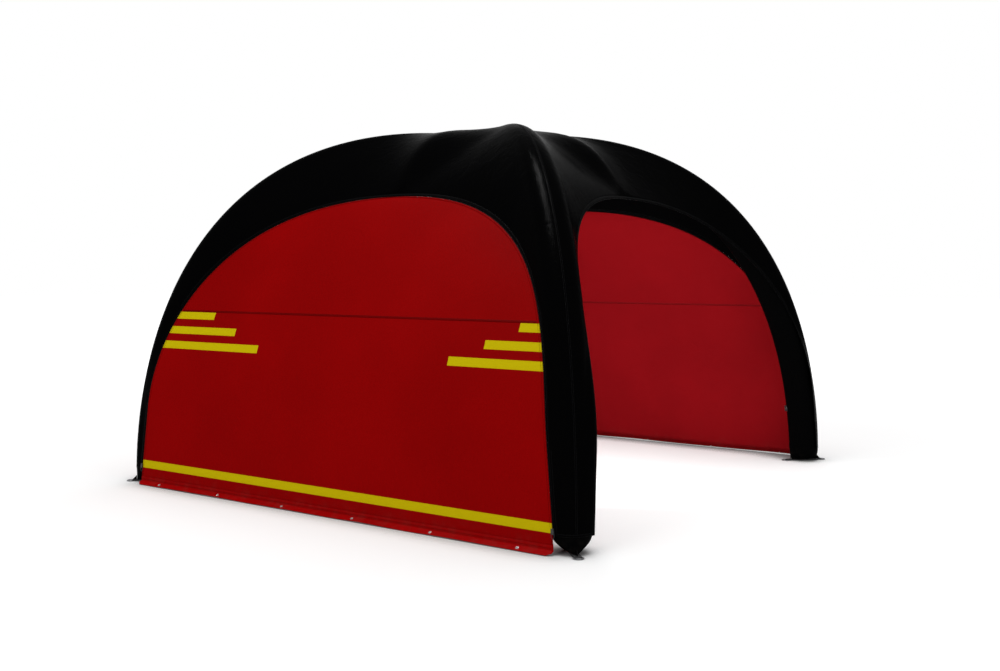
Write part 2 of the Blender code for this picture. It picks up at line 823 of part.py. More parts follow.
# Patch sewn under the crown, where the four sleeves meet
inner = PATCH_HALF - PATCH_CORNER
patch_outline = []
for x_sign, y_sign, first in ((1, 1, 0), (-1, 1, 90), (-1, -1, 180), (1, -1, 270)):
    centre = (inner * x_sign, inner * y_sign)
    patch_outline += arc(centre, PATCH_CORNER, first, first + 90, PATCH_CORNER_STEPS)
patch_mesh = plate("crown_patch", [patch_outline], PATCH_THICKNESS)
patch_drop = CROWN_RADIUS + LAYER_GAP + PATCH_THICKNESS / 2
patch_place = Matrix.Translation((0.0, 0.0, CROWN_HEIGHT - patch_drop))
put(
    "crown_patch",
    patch_mesh,
    BLACK_CLOTH,
    None,
    patch_place @ Matrix.Rotation(math.radians(45), 4, "Z"),
)


# Walls: a taut sheet whose level lines run straight from zip to zip
def to_wall(place, half_sign=1.0):
    """A (half width, out, height) point in the wall's frame, which faces -Y."""
    return Vector((place.x * half_sign, -place.y, place.z))


def line_at(height):
    """The straight zip run's line at a height."""
    return EDGE_FOOT.lerp(EDGE_RUN, height / ZIP_RUN_HEIGHT)


def wall_line():
    """The wall's right-hand edge, a seam's width inside the zip line."""
    low = line_at(WALL_BOTTOM)
    places = [low - Vector((SEAM, 0.0, 0.0))]
    for index, place in enumerate(EDGE_POINTS[:-1]):
        heading = EDGE_HEADINGS[index]
        following = EDGE_POINTS[index + 1] - place
        slope = Vector((0.0, following.y, following.z)).normalized()
        normal = slope.cross(Vector((1.0, 0.0, 0.0))).normalized()
        inward = normal.cross(heading).normalized()
        if inward.x > 0:
            inward = -inward
        places.append(place + inward * SEAM)
    top, before = EDGE_POINTS[-1], EDGE_POINTS[-2]
    down = Vector((0.0, before.y - top.y, before.z - top.z)).normalized()
    places.append(top + down * SEAM)
    return places


WALL_LINE = wall_line()


def wall_skin():
    bm = bmesh.new()
    rows = [
        [bm.verts.new(to_wall(p, -1.0)), bm.verts.new(to_wall(p, 1.0))]
        for p in WALL_LINE
    ]
    grid_faces(bm, rows, closed=False)
    bmesh.ops.remove_doubles(bm, verts=bm.verts, dist=MERGE_DISTANCE)
    return mesh_of(bm, "wall")


wall_mesh = shelled(wall_skin(), WALL_THICKNESS, 0.0)
smooth(wall_mesh)


# Ground hem: sewn to the wall's outside, then bent out along the ground, with eyelets
def hem_skin():
    top, bend = line_at(WALL_BOTTOM + HEM_OVERLAP), line_at(WALL_BOTTOM)
    stand_off = Vector((0.0, WALL_THICKNESS / 2 + HEM_GAP, 0.0))
    aside = Vector((SEAM, 0.0, 0.0))
    low_bend = bend + stand_off - aside
    low_bend.z -= HEM_BEND
    flare_out = low_bend.y + HEM_FLARE
    edge = Vector((low_bend.x - HEM_CHAMFER, flare_out, HEM_EDGE_HEIGHT))
    corner = (low_bend + Vector((low_bend.x, edge.y, edge.z))) / 2
    places = [top + stand_off - aside, low_bend, corner, edge]
    bm = bmesh.new()
    rows = [
        [bm.verts.new(to_wall(p, -1.0)), bm.verts.new(to_wall(p, 1.0))] for p in places
    ]
    grid_faces(bm, list(reversed(rows)), closed=False)
    return mesh_of(bm, "hem"), corner


hem_mesh, hem_middle = hem_skin()
hem_mesh = shelled(hem_mesh, HEM_THICKNESS, 1.0)
eyelet_hole = rod("eyelet_hole", EYELET_RADIUS, 2 * CUT_OVERRUN, EYELET_SIDES)
last_eyelet = hem_middle.x - EYELET_MARGIN
eyelets = []
for x in [-last_eyelet] + spread(-last_eyelet, last_eyelet, EYELET_COUNT - 1):
    place = Matrix.Translation((x, -hem_middle.y, hem_middle.z))
    eyelets.append((eyelet_hole, place))
hem_mesh = combined(hem_mesh, eyelets, "DIFFERENCE")
smooth(hem_mesh)

# Zip: one coil chain along the roof edge, from foot to foot
zip_mesh = wire("zip", [to_wall(p) for p in EDGE_LINE], ZIP_RADIUS, False)
smooth(zip_mesh, WIRE_SHARP_ANGLE)

# Slider: a saddle on the coil, with a cross bore for its pull
groove = ZIP_RADIUS + SLIDER_GROOVE_GAP
lip = math.degrees(math.asin(SLIDER_BACK / groove))
half = SLIDER_WIDTH / 2
slider_outline = [
    (half, SLIDER_BACK),
    (half, SLIDER_FRONT),
    (-half, SLIDER_FRONT),
    (-half, SLIDER_BACK),
] + arc((0.0, 0.0), groove, 180 - lip, lip, SMALL_SIDES)
pull_bore = PULL_ROD_RADIUS + PULL_BORE_GAP
PULL_OUT = (groove + SLIDER_FRONT) / 2
slider_mesh = plate("zip_slider", [slider_outline], SLIDER_LENGTH)
bore_rod = rod("pull_bore", pull_bore, SLIDER_WIDTH + 2 * CUT_OVERRUN, SMALL_SIDES)
slider_mesh = combined(
    slider_mesh, [(bore_rod, across_x(Vector((0.0, PULL_OUT, 0.0))))], "DIFFERENCE"
)
smooth(slider_mesh)

# Pull: a wire loop through the slider's bore, hanging down from its hinge
pull_half = half + PULL_SIDE_GAP + PULL_ROD_RADIUS
pull_corner = PULL_ROD_RADIUS
pull_points = [
    (-pull_half + pull_corner, 0.0, 0.0),
    (pull_half - pull_corner, 0.0, 0.0),
    (pull_half, 0.0, -pull_corner),
    (pull_half, 0.0, -PULL_LENGTH + pull_half),
    (pull_half / 2, 0.0, -PULL_LENGTH),
    (-pull_half / 2, 0.0, -PULL_LENGTH),
    (-pull_half, 0.0, -PULL_LENGTH + pull_half),
    (-pull_half, 0.0, -pull_corner),
]
pull_mesh = wire("zip_pull", pull_points, PULL_ROD_RADIUS, True)
smooth(pull_mesh, WIRE_SHARP_ANGLE)


def slider_matrix(sign):
    """A slider's place on the straight zip run: +Z up the zip, +Y out of the tent."""
    place = to_wall(line_at(SLIDER_START), sign)
    up = (to_wall(EDGE_RUN, sign) - to_wall(EDGE_FOOT, sign)).normalized()
    side = Vector((0.0, -1.0, 0.0)).cross(up).normalized()
    out = up.cross(side)
    turn = Matrix((side, out, up)).transposed()
    return Matrix.Translation(place) @ turn.to_4x4()


for face, degrees in WALL_ANGLES.items():
    frame = bpy.data.objects.new(f"wall_frame_{face}", None)
    frame.rotation_euler.z = math.radians(degrees)
    tent.objects.link(frame)
    put(f"zip_{face}", zip_mesh, ZIP_NYLON, frame)
    if face not in CLOSED_SIDES:
        continue
    put(f"wall_{face}", wall_mesh, RED_CLOTH, frame)
    put(f"hem_{face}", hem_mesh, RED_HEM, frame)
    for end, sign in (("right", 1.0), ("left", -1.0)):
        place = slider_matrix(sign)
        put(f"zip_slider_{face}_{end}", slider_mesh, STEEL, frame, place)
        hang = place @ Matrix.Translation((0.0, PULL_OUT, 0.0))
        put(f"zip_pull_{face}_{end}", pull_mesh, STEEL, frame, hang)
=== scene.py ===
"""Looks of the inflatable tent: a black canopy over four air legs, with zipped red walls on
three sides."""

import json
import math

import bpy
import numpy as np
from mathutils import Matrix, Vector, noise


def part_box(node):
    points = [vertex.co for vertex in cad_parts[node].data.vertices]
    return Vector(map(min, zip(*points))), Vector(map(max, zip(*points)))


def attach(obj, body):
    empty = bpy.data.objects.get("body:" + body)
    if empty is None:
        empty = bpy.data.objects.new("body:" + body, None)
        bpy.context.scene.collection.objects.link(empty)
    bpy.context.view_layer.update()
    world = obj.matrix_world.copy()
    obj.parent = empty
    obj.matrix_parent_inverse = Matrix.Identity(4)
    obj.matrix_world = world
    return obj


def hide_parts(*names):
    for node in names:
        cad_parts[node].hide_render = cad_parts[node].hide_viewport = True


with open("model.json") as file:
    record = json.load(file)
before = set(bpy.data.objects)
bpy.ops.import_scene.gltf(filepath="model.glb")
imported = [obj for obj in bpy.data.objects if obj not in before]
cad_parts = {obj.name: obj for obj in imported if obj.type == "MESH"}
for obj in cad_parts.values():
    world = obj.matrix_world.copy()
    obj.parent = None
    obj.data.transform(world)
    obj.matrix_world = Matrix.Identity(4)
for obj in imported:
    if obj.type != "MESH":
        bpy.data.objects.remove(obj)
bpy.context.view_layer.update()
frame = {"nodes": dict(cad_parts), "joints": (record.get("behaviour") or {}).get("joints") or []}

# Studio: a white floor under a white sky, with broad soft lamps and one narrow lamp that
# draws the gleam down the front leg. The camera is at a standing visitor's eye height,
# off the corner between the printed wall and the open side.
EYE = (5.485, -7.705, 1.720)
EYE_TURN = (math.radians(86.572), 0.0, math.radians(35.165))
LENS = 39.94
SKY_LIGHT = 0.42
FLOOR_HALF = 60.0
FLOOR_GLOW = 0.29
FLOOR_GLOW_FAR = 0.85
FLOOR_NEAR = 3.0
FLOOR_FAR = 15.0
# The floor's contact shadow is painted: within this reach an ambient occlusion node darkens the floor's
# colour and its glow.
CONTACT_REACH = 0.40
CONTACT_SHADE = (0.34, 0.90)
CONTACT_SAMPLES = 8
FLOOR_PAINTED_SHADOW_TONES = ((0.30, 0.30, 0.30), (0.80, 0.80, 0.80))

scene = bpy.context.scene
scene.view_settings.view_transform = "Standard"
camera = bpy.data.objects.new("camera", bpy.data.cameras.new("camera"))
scene.collection.objects.link(camera)
camera.location = EYE
camera.rotation_euler = EYE_TURN
camera.data.lens = LENS
camera.data.clip_end = 4 * FLOOR_HALF
scene.camera = camera


def add_node(tree, kind, inputs, **settings):
    """A new node's outputs, with its inputs fed by sockets, numbers or colours."""
    made = tree.nodes.new("ShaderNode" + kind)
    for label, value in settings.items():
        setattr(made, label, value)
    for label, value in inputs.items():
        if isinstance(value, bpy.types.NodeSocket):
            tree.links.new(value, made.inputs[label])
        else:
            made.inputs[label].default_value = (*value, 1.0) if isinstance(value, tuple) else value
    return made.outputs


def smooth_step(tree, value, low, high, start=0.0, end=1.0):
    limits = {"From Min": low, "From Max": high, "To Min": start, "To Max": end}
    return add_node(tree, "MapRange", {"Value": value, **limits}, interpolation_type="SMOOTHSTEP")[0]


def math_node(tree, operation, *values, clamp=False):
    return add_node(tree, "Math", dict(enumerate(values)), operation=operation, use_clamp=clamp)[0]


def blended(tree, share, first, second):
    """A colour between two, each a socket or a plain colour."""
    return add_node(tree, "Mix", {"Factor": share, 6: first, 7: second}, data_type="RGBA")[2]


def white_when_seen(tree, unseen, seen):
    """A strength of seen, a number or a socket, for the camera and for mirror and glass rays,
    else unseen."""
    path = add_node(tree, "LightPath", {})
    direct = math_node(tree, "MAXIMUM", path["Is Camera Ray"], path["Is Glossy Ray"])
    direct = math_node(tree, "MAXIMUM", direct, path["Is Transmission Ray"])
    return add_node(tree, "MapRange", {"Value": direct, "To Min": unseen, "To Max": seen})[0]


def primitive(add, **settings):
    """The object that one of Blender's own mesh steps makes."""
    bpy.ops.object.select_all(action="DESELECT")
    add(**settings)
    return bpy.context.object


sky = bpy.data.worlds.new("white_sky")
sky.use_nodes = True
sky_light = sky.node_tree.nodes["Background"]
sky_light.inputs["Color"].default_value = (1.0, 1.0, 1.0, 1.0)
sky_strength = white_when_seen(sky.node_tree, SKY_LIGHT, 1.0)
sky.node_tree.links.new(sky_strength, sky_light.inputs["Strength"])
scene.world = sky

floor_white = bpy.data.materials.new("floor_white")
floor_white.use_nodes = True
tree = floor_white.node_tree
matt = tree.nodes["Principled BSDF"]
matt.inputs["Roughness"].default_value = 1.0
matt.inputs["Specular IOR Level"].default_value = 0.0
matt.inputs["Emission Color"].default_value = (1.0, 1.0, 1.0, 1.0)
# Painted contact shadow: ambient occlusion near the tent darkens the floor's colour and its glow.
contact = add_node(tree, "AmbientOcclusion", {"Distance": CONTACT_REACH}, samples=CONTACT_SAMPLES)
clear = smooth_step(tree, contact["AO"], *CONTACT_SHADE)
tree.links.new(blended(tree, clear, *FLOOR_PAINTED_SHADOW_TONES), matt.inputs["Base Color"])
floor_place = add_node(tree, "TexCoord", {})["Object"]
from_middle = add_node(tree, "VectorMath", {0: floor_place}, operation="LENGTH")["Value"]
glow = smooth_step(tree, from_middle, FLOOR_NEAR, FLOOR_FAR, FLOOR_GLOW, FLOOR_GLOW_FAR)
shaded_glow = math_node(tree, "MULTIPLY", glow, clear)
tree.links.new(white_when_seen(tree, 0.0, shaded_glow), matt.inputs["Emission Strength"])
floor = primitive(bpy.ops.mesh.primitive_plane_add, size=2 * FLOOR_HALF)
floor.name = "floor"
floor.data.materials.append(floor_white)


def lamp(name, place, target, width, length, watts, along=(0.0, 0.0, 1.0)):
    """A rectangular lamp that faces its target, with its length along a direction. It isn't
    seen by the camera or in mirror rays, so that it only lights."""
    light = bpy.data.lights.new(name, "AREA")
    light.shape = "RECTANGLE"
    light.size = width
    light.size_y = length
    light.energy = watts
    made = bpy.data.objects.new(name, light)
    away = (Vector(place) - Vector(target)).normalized()
    aside = Vector(along).cross(away).normalized()
    made.rotation_euler = Matrix((aside, away.cross(aside), away)).transposed().to_euler()
    made.location = place
    made.visible_camera = False
    made.visible_glossy = False
    scene.collection.objects.link(made)
    return made


lamp("overhead", (0.0, 0.0, 9.0), (0.0, 0.0, 0.0), 9.0, 9.0, 420.0, (0.0, 1.0, 0.0))
lamp("printed_side_fill", (-1.0, -12.0, 4.5), (0.0, -2.0, 1.2), 7.0, 4.0, 330.0)
lamp("open_side_fill", (11.0, -3.0, 4.0), (1.0, 0.0, 1.0), 6.0, 4.0, 190.0)
lamp("back_fill", (-2.0, 12.0, 4.5), (0.0, 2.0, 1.2), 7.0, 4.0, 200.0)
lamp("left_fill", (-12.0, 1.0, 4.5), (-2.0, 0.0, 1.2), 7.0, 4.0, 200.0)
lamp("inner_floor", (0.0, 0.0, 2.45), (0.0, 0.0, 0.0), 2.0, 2.0, 55.0, (0.0, 1.0, 0.0))
lamp("inner_walls", (1.2, -0.9, 1.2), (-0.4, 2.0, 0.9), 1.6, 1.4, 30.0)
gleam = lamp("leg_gleam", (1.1, -1.9, 4.45), (1.55, -1.6, 2.1), 0.12, 2.0, 620.0, (1.40, -1.77, -0.52))
gleam.visible_glossy = True
gleam.visible_diffuse = False

# Air bladders: the four welded film tubes that hold the tent up. Each stands on its foot,
# leans in over a shoulder, runs level to the crown and ends there in a mitre, and the
# sleeve round it takes the load. Every cloth piece of the tent is laid out from their lines.
FOOT_REACH = 2.83
FOOT_HANDLE_HEIGHT = 0.774
SHOULDER_REACH = 2.558
SHOULDER_HEIGHT = 2.822
CROWN_REACH = 0.34
CROWN_HEIGHT = 2.70
FOOT_RADIUS = 0.124
CROWN_RADIUS = 0.149
PINCH_HEIGHT = 0.11
GATHER_SHARE = 0.24
GATHER_FOLDS = 16
GATHER_DEPTH = 0.07
STRAP_THICKNESS = 0.010
FOOT_GAP = 0.0004
LAYER_GAP = 0.0005
FILM_THICKNESS = 0.0008
FILM_INSET = 0.0013
FILM_CROWN_GAP = 0.0025
TUBE_ROWS = 90
FILM_COLUMNS = 48
PINCH_ROWS = 12
PINCH_TOP = 0.93
MITRE_ROWS = 8
MERGE_DISTANCE = 0.00002
LEG_ANGLES = {"front_right": -45.0, "back_right": 45.0, "back_left": 135.0, "front_left": -135.0}
LEG_LINE = (
    np.array((FOOT_REACH, 0.0, 0.0)),
    np.array((FOOT_REACH, 0.0, FOOT_HANDLE_HEIGHT)),
    np.array((SHOULDER_REACH, 0.0, SHOULDER_HEIGHT)),
    np.array((CROWN_REACH, 0.0, CROWN_HEIGHT)),
)
ACROSS = np.array((0.0, 1.0, 0.0))
INDOORS = np.array((0.0, 0.0, 1.0))


def cubic(points, s):
    a, b, c, d = points
    t = 1 - s
    return a * t**3 + b * 3 * t * t * s + c * 3 * t * s * s + d * s**3


def unit(vectors):
    return vectors / np.linalg.norm(vectors, axis=-1, keepdims=True)


def crossing(rises, low, high):
    """Where a function that rises through zero meets it, by halving."""
    for _ in range(40):
        middle = (low + high) / 2
        if rises(middle) < 0:
            low = middle
        else:
            high = middle
    return (low + high) / 2


def leg_centre(s):
    """A leg's middle in its own frame: s is 0 at the foot, 1 where it is level, 2 at the crown."""
    if s <= 1:
        return cubic(LEG_LINE, s)
    return np.array((CROWN_REACH * (2 - s), 0.0, CROWN_HEIGHT))


def leg_heading(s):
    if s >= 1:
        return np.array((-1.0, 0.0, 0.0))
    a, b, c, d = LEG_LINE
    t = 1 - s
    return unit((b - a) * t * t + (c - b) * 2 * t * s + (d - c) * s * s)


def leg_outward(s):
    heading = leg_heading(s)
    return np.array((heading[2], 0.0, -heading[0]))


def leg_radius(s):
    return FOOT_RADIUS + (CROWN_RADIUS - FOOT_RADIUS) * min(s, 1.0)


def on_leg(s, angle, grow=0.0):
    """A point on a leg's round, at an angle from its ridge."""
    reach = leg_radius(s) + grow
    return leg_centre(s) + (leg_outward(s) * math.cos(angle) + ACROSS * math.sin(angle)) * reach


def turned(points, degrees):
    """Points or rows of points, turned about the upright axis."""
    a = math.radians(degrees)
    turn = np.array(((math.cos(a), -math.sin(a), 0), (math.sin(a), math.cos(a), 0), (0, 0, 1)))
    return np.asarray(points, float) @ turn.T


LOW_S = crossing(lambda s: leg_centre(s)[2] - PINCH_HEIGHT, 0.0, 1.0)


def pinched_ring(rise, inset, angles):
    """A ring of the gathered foot end, at a share of its height."""
    low = STRAP_THICKNESS + FOOT_GAP + inset
    width = GATHER_SHARE + (1 - GATHER_SHARE) * math.sin(rise * math.pi / 2) ** 0.8
    ring = []
    for a in angles:
        fold = (0.5 + 0.5 * math.sin(GATHER_FOLDS * a)) * GATHER_DEPTH * (1 - rise) ** 1.5
        reach = (FOOT_RADIUS - inset) * (1 - fold)
        height = low + (PINCH_HEIGHT - low) * rise
        ring.append((FOOT_REACH + reach * math.cos(a), reach * width * math.sin(a), height))
    return ring


def tube_rows(inset, crown_gap, columns):
    """A leg's tube from its gathered end to its mitre, with each ring from its inner side."""
    angles = [math.pi + 2 * math.pi * j / columns for j in range(columns)]
    rows = [pinched_ring(rise, inset, angles) for rise in np.linspace(0.0, PINCH_TOP, PINCH_ROWS)]
    rows.insert(0, [np.mean(rows[0], axis=0)] * columns)
    rows += [[on_leg(s, a, -inset) for a in angles] for s in np.linspace(LOW_S, 1.0, TUBE_ROWS)]
    level = rows[-1]
    for share in np.linspace(0.0, 1.0, MITRE_ROWS + 1)[1:]:
        rows.append([(p[0] + (abs(p[1]) + crown_gap - p[0]) * share, p[1], p[2]) for p in level])
    return np.array(rows)


def select_only(made):
    bpy.ops.object.select_all(action="DESELECT")
    made.select_set(True)
    bpy.context.view_layer.objects.active = made


def finish_by_hand(made, *steps):
    """Run edit-mode steps on a whole piece, each an operator and its settings."""
    select_only(made)
    bpy.ops.object.mode_set(mode="EDIT")
    bpy.ops.mesh.select_all(action="SELECT")
    for step, settings in steps:
        step(**settings)
    bpy.ops.object.mode_set(mode="OBJECT")


def apply_modifiers(made):
    select_only(made)
    for step in list(made.modifiers):
        bpy.ops.object.modifier_apply(modifier=step.name)


def cloth_piece(name, patches, finish, thickness, facing, offset=1.0, closed=False):
    """A sheet sewn from patches of rows, facing away from a point or along given directions.

    Its UV map is in metres: across each row, and along the rows. Its thickness is laid on
    the side that it faces for an offset of 1, and on the other side for -1."""
    points, faces, places = [], [], []
    for rows in patches:
        rows = np.asarray(rows, float)
        count, width = rows.shape[:2]
        wide = np.concatenate([rows, rows[:, :1]], axis=1) if closed else rows
        steps = np.linalg.norm(np.diff(wide, axis=1), axis=2)
        across = np.concatenate([np.zeros((count, 1)), np.cumsum(steps, axis=1)], axis=1)
        rises = np.linalg.norm(np.diff(rows, axis=0), axis=2).mean(axis=1)
        along = np.concatenate([[0.0], np.cumsum(rises)])
        normals = np.cross(rows[:-1, 1:] - rows[:-1, :-1], rows[1:, :-1] - rows[:-1, :-1])
        lean = rows[:-1, :-1] - facing if np.ndim(facing) == 1 else facing[:-1, None]
        flip = (normals * lean).sum() < 0
        base = len(points)
        points += [tuple(p) for p in rows.reshape(-1, 3)]
        for i in range(count - 1):
            for j in range(wide.shape[1] - 1):
                corners = [(i, j), (i, j + 1), (i + 1, j + 1), (i + 1, j)]
                if flip:
                    corners.reverse()
                faces.append([base + a * width + b % width for a, b in corners])
                places += [(across[a, b], along[a]) for a, b in corners]
    mesh = bpy.data.meshes.new(name)
    mesh.from_pydata(points, [], faces)
    mesh.uv_layers.new(name="UVMap").data.foreach_set("uv", np.array(places).ravel())
    mesh.materials.append(finish)
    mesh.shade_smooth()
    made = bpy.data.objects.new(name, mesh)
    scene.collection.objects.link(made)
    finish_by_hand(made, (bpy.ops.mesh.remove_doubles, {"threshold": MERGE_DISTANCE}))
    shell = made.modifiers.new("thickness", "SOLIDIFY")
    shell.thickness = thickness
    shell.offset = offset
    apply_modifiers(made)
    return made


def noise_node(tree, place, scale, detail=2.0, distortion=0.0):
    values = {"Vector": place, "Scale": scale, "Detail": detail, "Distortion": distortion}
    return add_node(tree, "TexNoise", values)["Fac"]


def split(tree, place):
    return add_node(tree, "SeparateXYZ", {0: place})


def effect(name, inputs, outputs):
    """A new shader node group that works over a place, with float inputs and outputs."""
    tree = bpy.data.node_groups.new(name, "ShaderNodeTree")
    tree.interface.new_socket(name="Place", in_out="INPUT", socket_type="NodeSocketVector")
    for label, value in inputs.items():
        made = tree.interface.new_socket(name=label, in_out="INPUT", socket_type="NodeSocketFloat")
        made.default_value = value
    for label in outputs:
        tree.interface.new_socket(name=label, in_out="OUTPUT", socket_type="NodeSocketFloat")
    return tree, tree.nodes.new("NodeGroupInput").outputs, tree.nodes.new("NodeGroupOutput").inputs


def use_effect(tree, group, place, **values):
    return add_node(tree, "Group", {"Place": place, **values}, node_tree=group)


def new_material(name, specular=0.5, metallic=0.0):
    """A material with its tree, and its object and UV places."""
    made = bpy.data.materials.new(name)
    made.use_nodes = True
    tree = made.node_tree
    shader = tree.nodes["Principled BSDF"]
    shader.inputs["Specular IOR Level"].default_value = specular
    shader.inputs["Metallic"].default_value = metallic
    places = add_node(tree, "TexCoord", {})
    return made, tree, places["Object"], places["UV"]


def surface(tree, colour, roughness, layers):
    """Feed a material's shader with its colour, its roughness and its relief, which is made
    of (height, metres) layers, each over the one before."""
    relief = {}
    for height, metres in layers:
        relief = {"Normal": add_node(tree, "Bump", {"Distance": metres, "Height": height, **relief})[0]}
    shader = tree.nodes["Principled BSDF"]
    for label, value in {"Base Color": colour, "Roughness": roughness, **relief}.items():
        tree.links.new(value, shader.inputs[label])


# Slack that packing leaves in cloth and film: broad swells and small sharp creases
slack, given, result = effect("packing_slack", {"Swells": 1.4, "Creases": 7.0}, ("Swell", "Crease"))
slack.links.new(noise_node(slack, given["Place"], given["Swells"]), result["Swell"])
sharp = noise_node(slack, given["Place"], given["Creases"], 3.0, 0.6)
ridges = math_node(slack, "ABSOLUTE", math_node(slack, "SUBTRACT", sharp, 0.5))
slack.links.new(smooth_step(slack, ridges, 0.0, 0.16), result["Crease"])

AIR_FILM = (0.50, 0.51, 0.52)
AIR_FILM_SHADE = (0.44, 0.45, 0.46)
air_film, tree, place, uv = new_material("air_film", 0.4)
crumple = use_effect(tree, slack, place, Swells=3.0, Creases=22.0)
surface(
    tree,
    blended(tree, crumple["Swell"], AIR_FILM_SHADE, AIR_FILM),
    smooth_step(tree, crumple["Swell"], 0.3, 0.7, 0.28, 0.40),
    [(crumple["Swell"], 0.004), (crumple["Crease"], 0.0006)],
)

VALVE_HOLE_RADIUS = 0.0196
PUNCH_LENGTH = 0.06


def valve_spot(corner):
    """Where a leg's valve goes through its wall, and its way out."""
    low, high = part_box(f"valve_plunger_{corner}")
    joint = next(j for j in frame["joints"] if j["name"] == f"valve_plunger_{corner}_push")
    return (low + high) / 2, -Vector(joint["axis"])


def punched(made, spot, way, radius, length):
    """Punch a round hole through a thin piece."""
    turn = Vector(way).to_track_quat("Z", "Y").to_euler()
    cut = {"vertices": 32, "radius": radius, "depth": length, "location": spot, "rotation": turn}
    punch = primitive(bpy.ops.mesh.primitive_cylinder_add, **cut)
    hole = made.modifiers.new("hole", "BOOLEAN")
    hole.operation = "DIFFERENCE"
    hole.object = punch
    apply_modifiers(made)
    bpy.data.objects.remove(punch, do_unlink=True)


def leg_skin(name, corner, rows, thickness, finish):
    """One leg's tube of film or cloth, with its valve hole."""
    degrees = LEG_ANGLES[corner]
    inner = turned(leg_centre(0.5), degrees)
    made = cloth_piece(name, [turned(rows, degrees)], finish, thickness, inner, -1.0, closed=True)
    punched(made, *valve_spot(corner), VALVE_HOLE_RADIUS, PUNCH_LENGTH)
    return made


film_rows = tube_rows(FILM_INSET, FILM_CROWN_GAP, FILM_COLUMNS)
film_rows = np.concatenate([film_rows, [[(FILM_CROWN_GAP, 0.0, CROWN_HEIGHT)] * FILM_COLUMNS]])
for corner in LEG_ANGLES:
    film = leg_skin(f"bladder_film_{corner}", corner, film_rows, FILM_THICKNESS, air_film)
    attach(film, "root")
    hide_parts(f"leg_bladder_{corner}")

# Leg sleeves: black coated cloth round the bladders, sewn along the inner side with a
# lapped seam and two rows of thread, and gathered at the foot onto the strap.
SLEEVE_THICKNESS = 0.0008
SLEEVE_CROWN_GAP = 0.0005
SLEEVE_COLUMNS = 96
SEAM_LAP = 0.018
SEAM_CLOTH = 0.0006
SEAM_LIFT = 0.0001
SEAM_ROWS = (0.004, 0.014)
WEAVE_PITCH = 0.0011
BLACK = (0.0012, 0.0012, 0.0013)
BLACK_THREAD = (0.012, 0.012, 0.013)
DUST = (0.10, 0.085, 0.070)

# Plain weave over a UV map in metres: warp and weft threads rise in turn
weave, given, result = effect("plain_weave", {"Pitch": WEAVE_PITCH}, ("Height",))
waves = []
for length in split(weave, given["Place"])[:2]:
    turns = math_node(weave, "DIVIDE", length, given["Pitch"])
    waves.append(math_node(weave, "SINE", math_node(weave, "MULTIPLY", turns, math.pi)))
crossed = math_node(weave, "MULTIPLY", *waves)
weave.links.new(math_node(weave, "ABSOLUTE", crossed), result["Height"])

# A row of thread along a seam, at its distance across the UV map
sewing_inputs = {"Row": 0.0, "Stitch": 0.0050, "Width": 0.0007}
sewing, given, result = effect("thread_row", sewing_inputs, ("Thread", "Pull"))
across, along, _ = split(sewing, given["Place"])
off = math_node(sewing, "ABSOLUTE", math_node(sewing, "SUBTRACT", across, given["Row"]))
inside = math_node(sewing, "LESS_THAN", off, given["Width"])
turns = math_node(sewing, "FRACT", math_node(sewing, "DIVIDE", along, given["Stitch"]))
middle = math_node(sewing, "ABSOLUTE", math_node(sewing, "SUBTRACT", turns, 0.5))
dashes = math_node(sewing, "MULTIPLY", inside, math_node(sewing, "LESS_THAN", middle, 0.38))
sewing.links.new(dashes, result["Thread"])
reach = math_node(sewing, "MULTIPLY", given["Width"], 4.0)
dip = math_node(sewing, "SUBTRACT", 1.0, math_node(sewing, "DIVIDE", off, reach), clamp=True)
sewing.links.new(dip, result["Pull"])

# Dust that settles in patches near the ground
dusting, given, result = effect("ground_dust", {"Reach": 0.14}, ("Amount",))
height = math_node(dusting, "DIVIDE", split(dusting, given["Place"])[2], given["Reach"])
near = math_node(dusting, "SUBTRACT", 1.0, height, clamp=True)
patches = smooth_step(dusting, noise_node(dusting, given["Place"], 17.0, 5.0), 0.40, 0.75)
dusting.links.new(math_node(dusting, "MULTIPLY", near, patches), result["Amount"])


def cloth(
    name, colour, thread, rough, specular,
    rows=(), swell=0.012, crease=0.001, dust=0.06, pitch=WEAVE_PITCH, print_over=None,
):
    """Coated woven cloth, with its rows of thread and any print."""
    made, tree, place, uv = new_material(name, specular)
    folds = use_effect(tree, slack, place)
    threads = use_effect(tree, weave, uv, Pitch=pitch)
    shade = tuple(0.90 * c for c in colour)
    tone = blended(tree, smooth_step(tree, folds["Swell"], 0.3, 0.7), shade, colour)
    if print_over is not None:
        tone = print_over(tree, place, tone)
    dirt = math_node(tree, "MULTIPLY", use_effect(tree, dusting, place)["Amount"], dust)
    tone = blended(tree, dirt, tone, DUST)
    layers = [(folds["Swell"], swell), (folds["Crease"], crease), (threads["Height"], 0.06 * pitch)]
    for row in rows:
        sewn = use_effect(tree, sewing, uv, Row=row)
        tone = blended(tree, sewn["Thread"], tone, thread)
        layers.append((math_node(tree, "SUBTRACT", sewn["Thread"], sewn["Pull"]), 0.0006))
    worn = smooth_step(tree, folds["Swell"], 0.25, 0.75, rough - 0.05, rough + 0.05)
    surface(tree, tone, worn, layers)
    return made


def black(name, rough, specular, **more):
    return cloth(name, BLACK, BLACK_THREAD, rough, specular, **more)


def strip(name, lines, finish, thickness, normals, offset=1.0):
    """A narrow tape sewn along side-by-side lines of points."""
    return cloth_piece(name, [np.stack(lines, axis=1)], finish, thickness, normals, offset)


def leg_seam(name, stations, angle, lift, lines, degrees):
    """A lapped seam along a leg's round, at an angle from its ridge."""
    asides = np.linspace(-SEAM_LAP / 2, SEAM_LAP / 2, lines)
    rows = [[on_leg(s, angle + aside / leg_radius(s), lift) for s in stations] for aside in asides]
    ways = turned([leg_outward(s) * math.cos(angle) for s in stations], degrees)
    return strip(name, [turned(row, degrees) for row in rows], black_seam, SEAM_CLOTH, ways)


def belongs(piece, node, body="root"):
    """Ride on a body in place of a CAD node."""
    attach(piece, body)
    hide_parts(node)


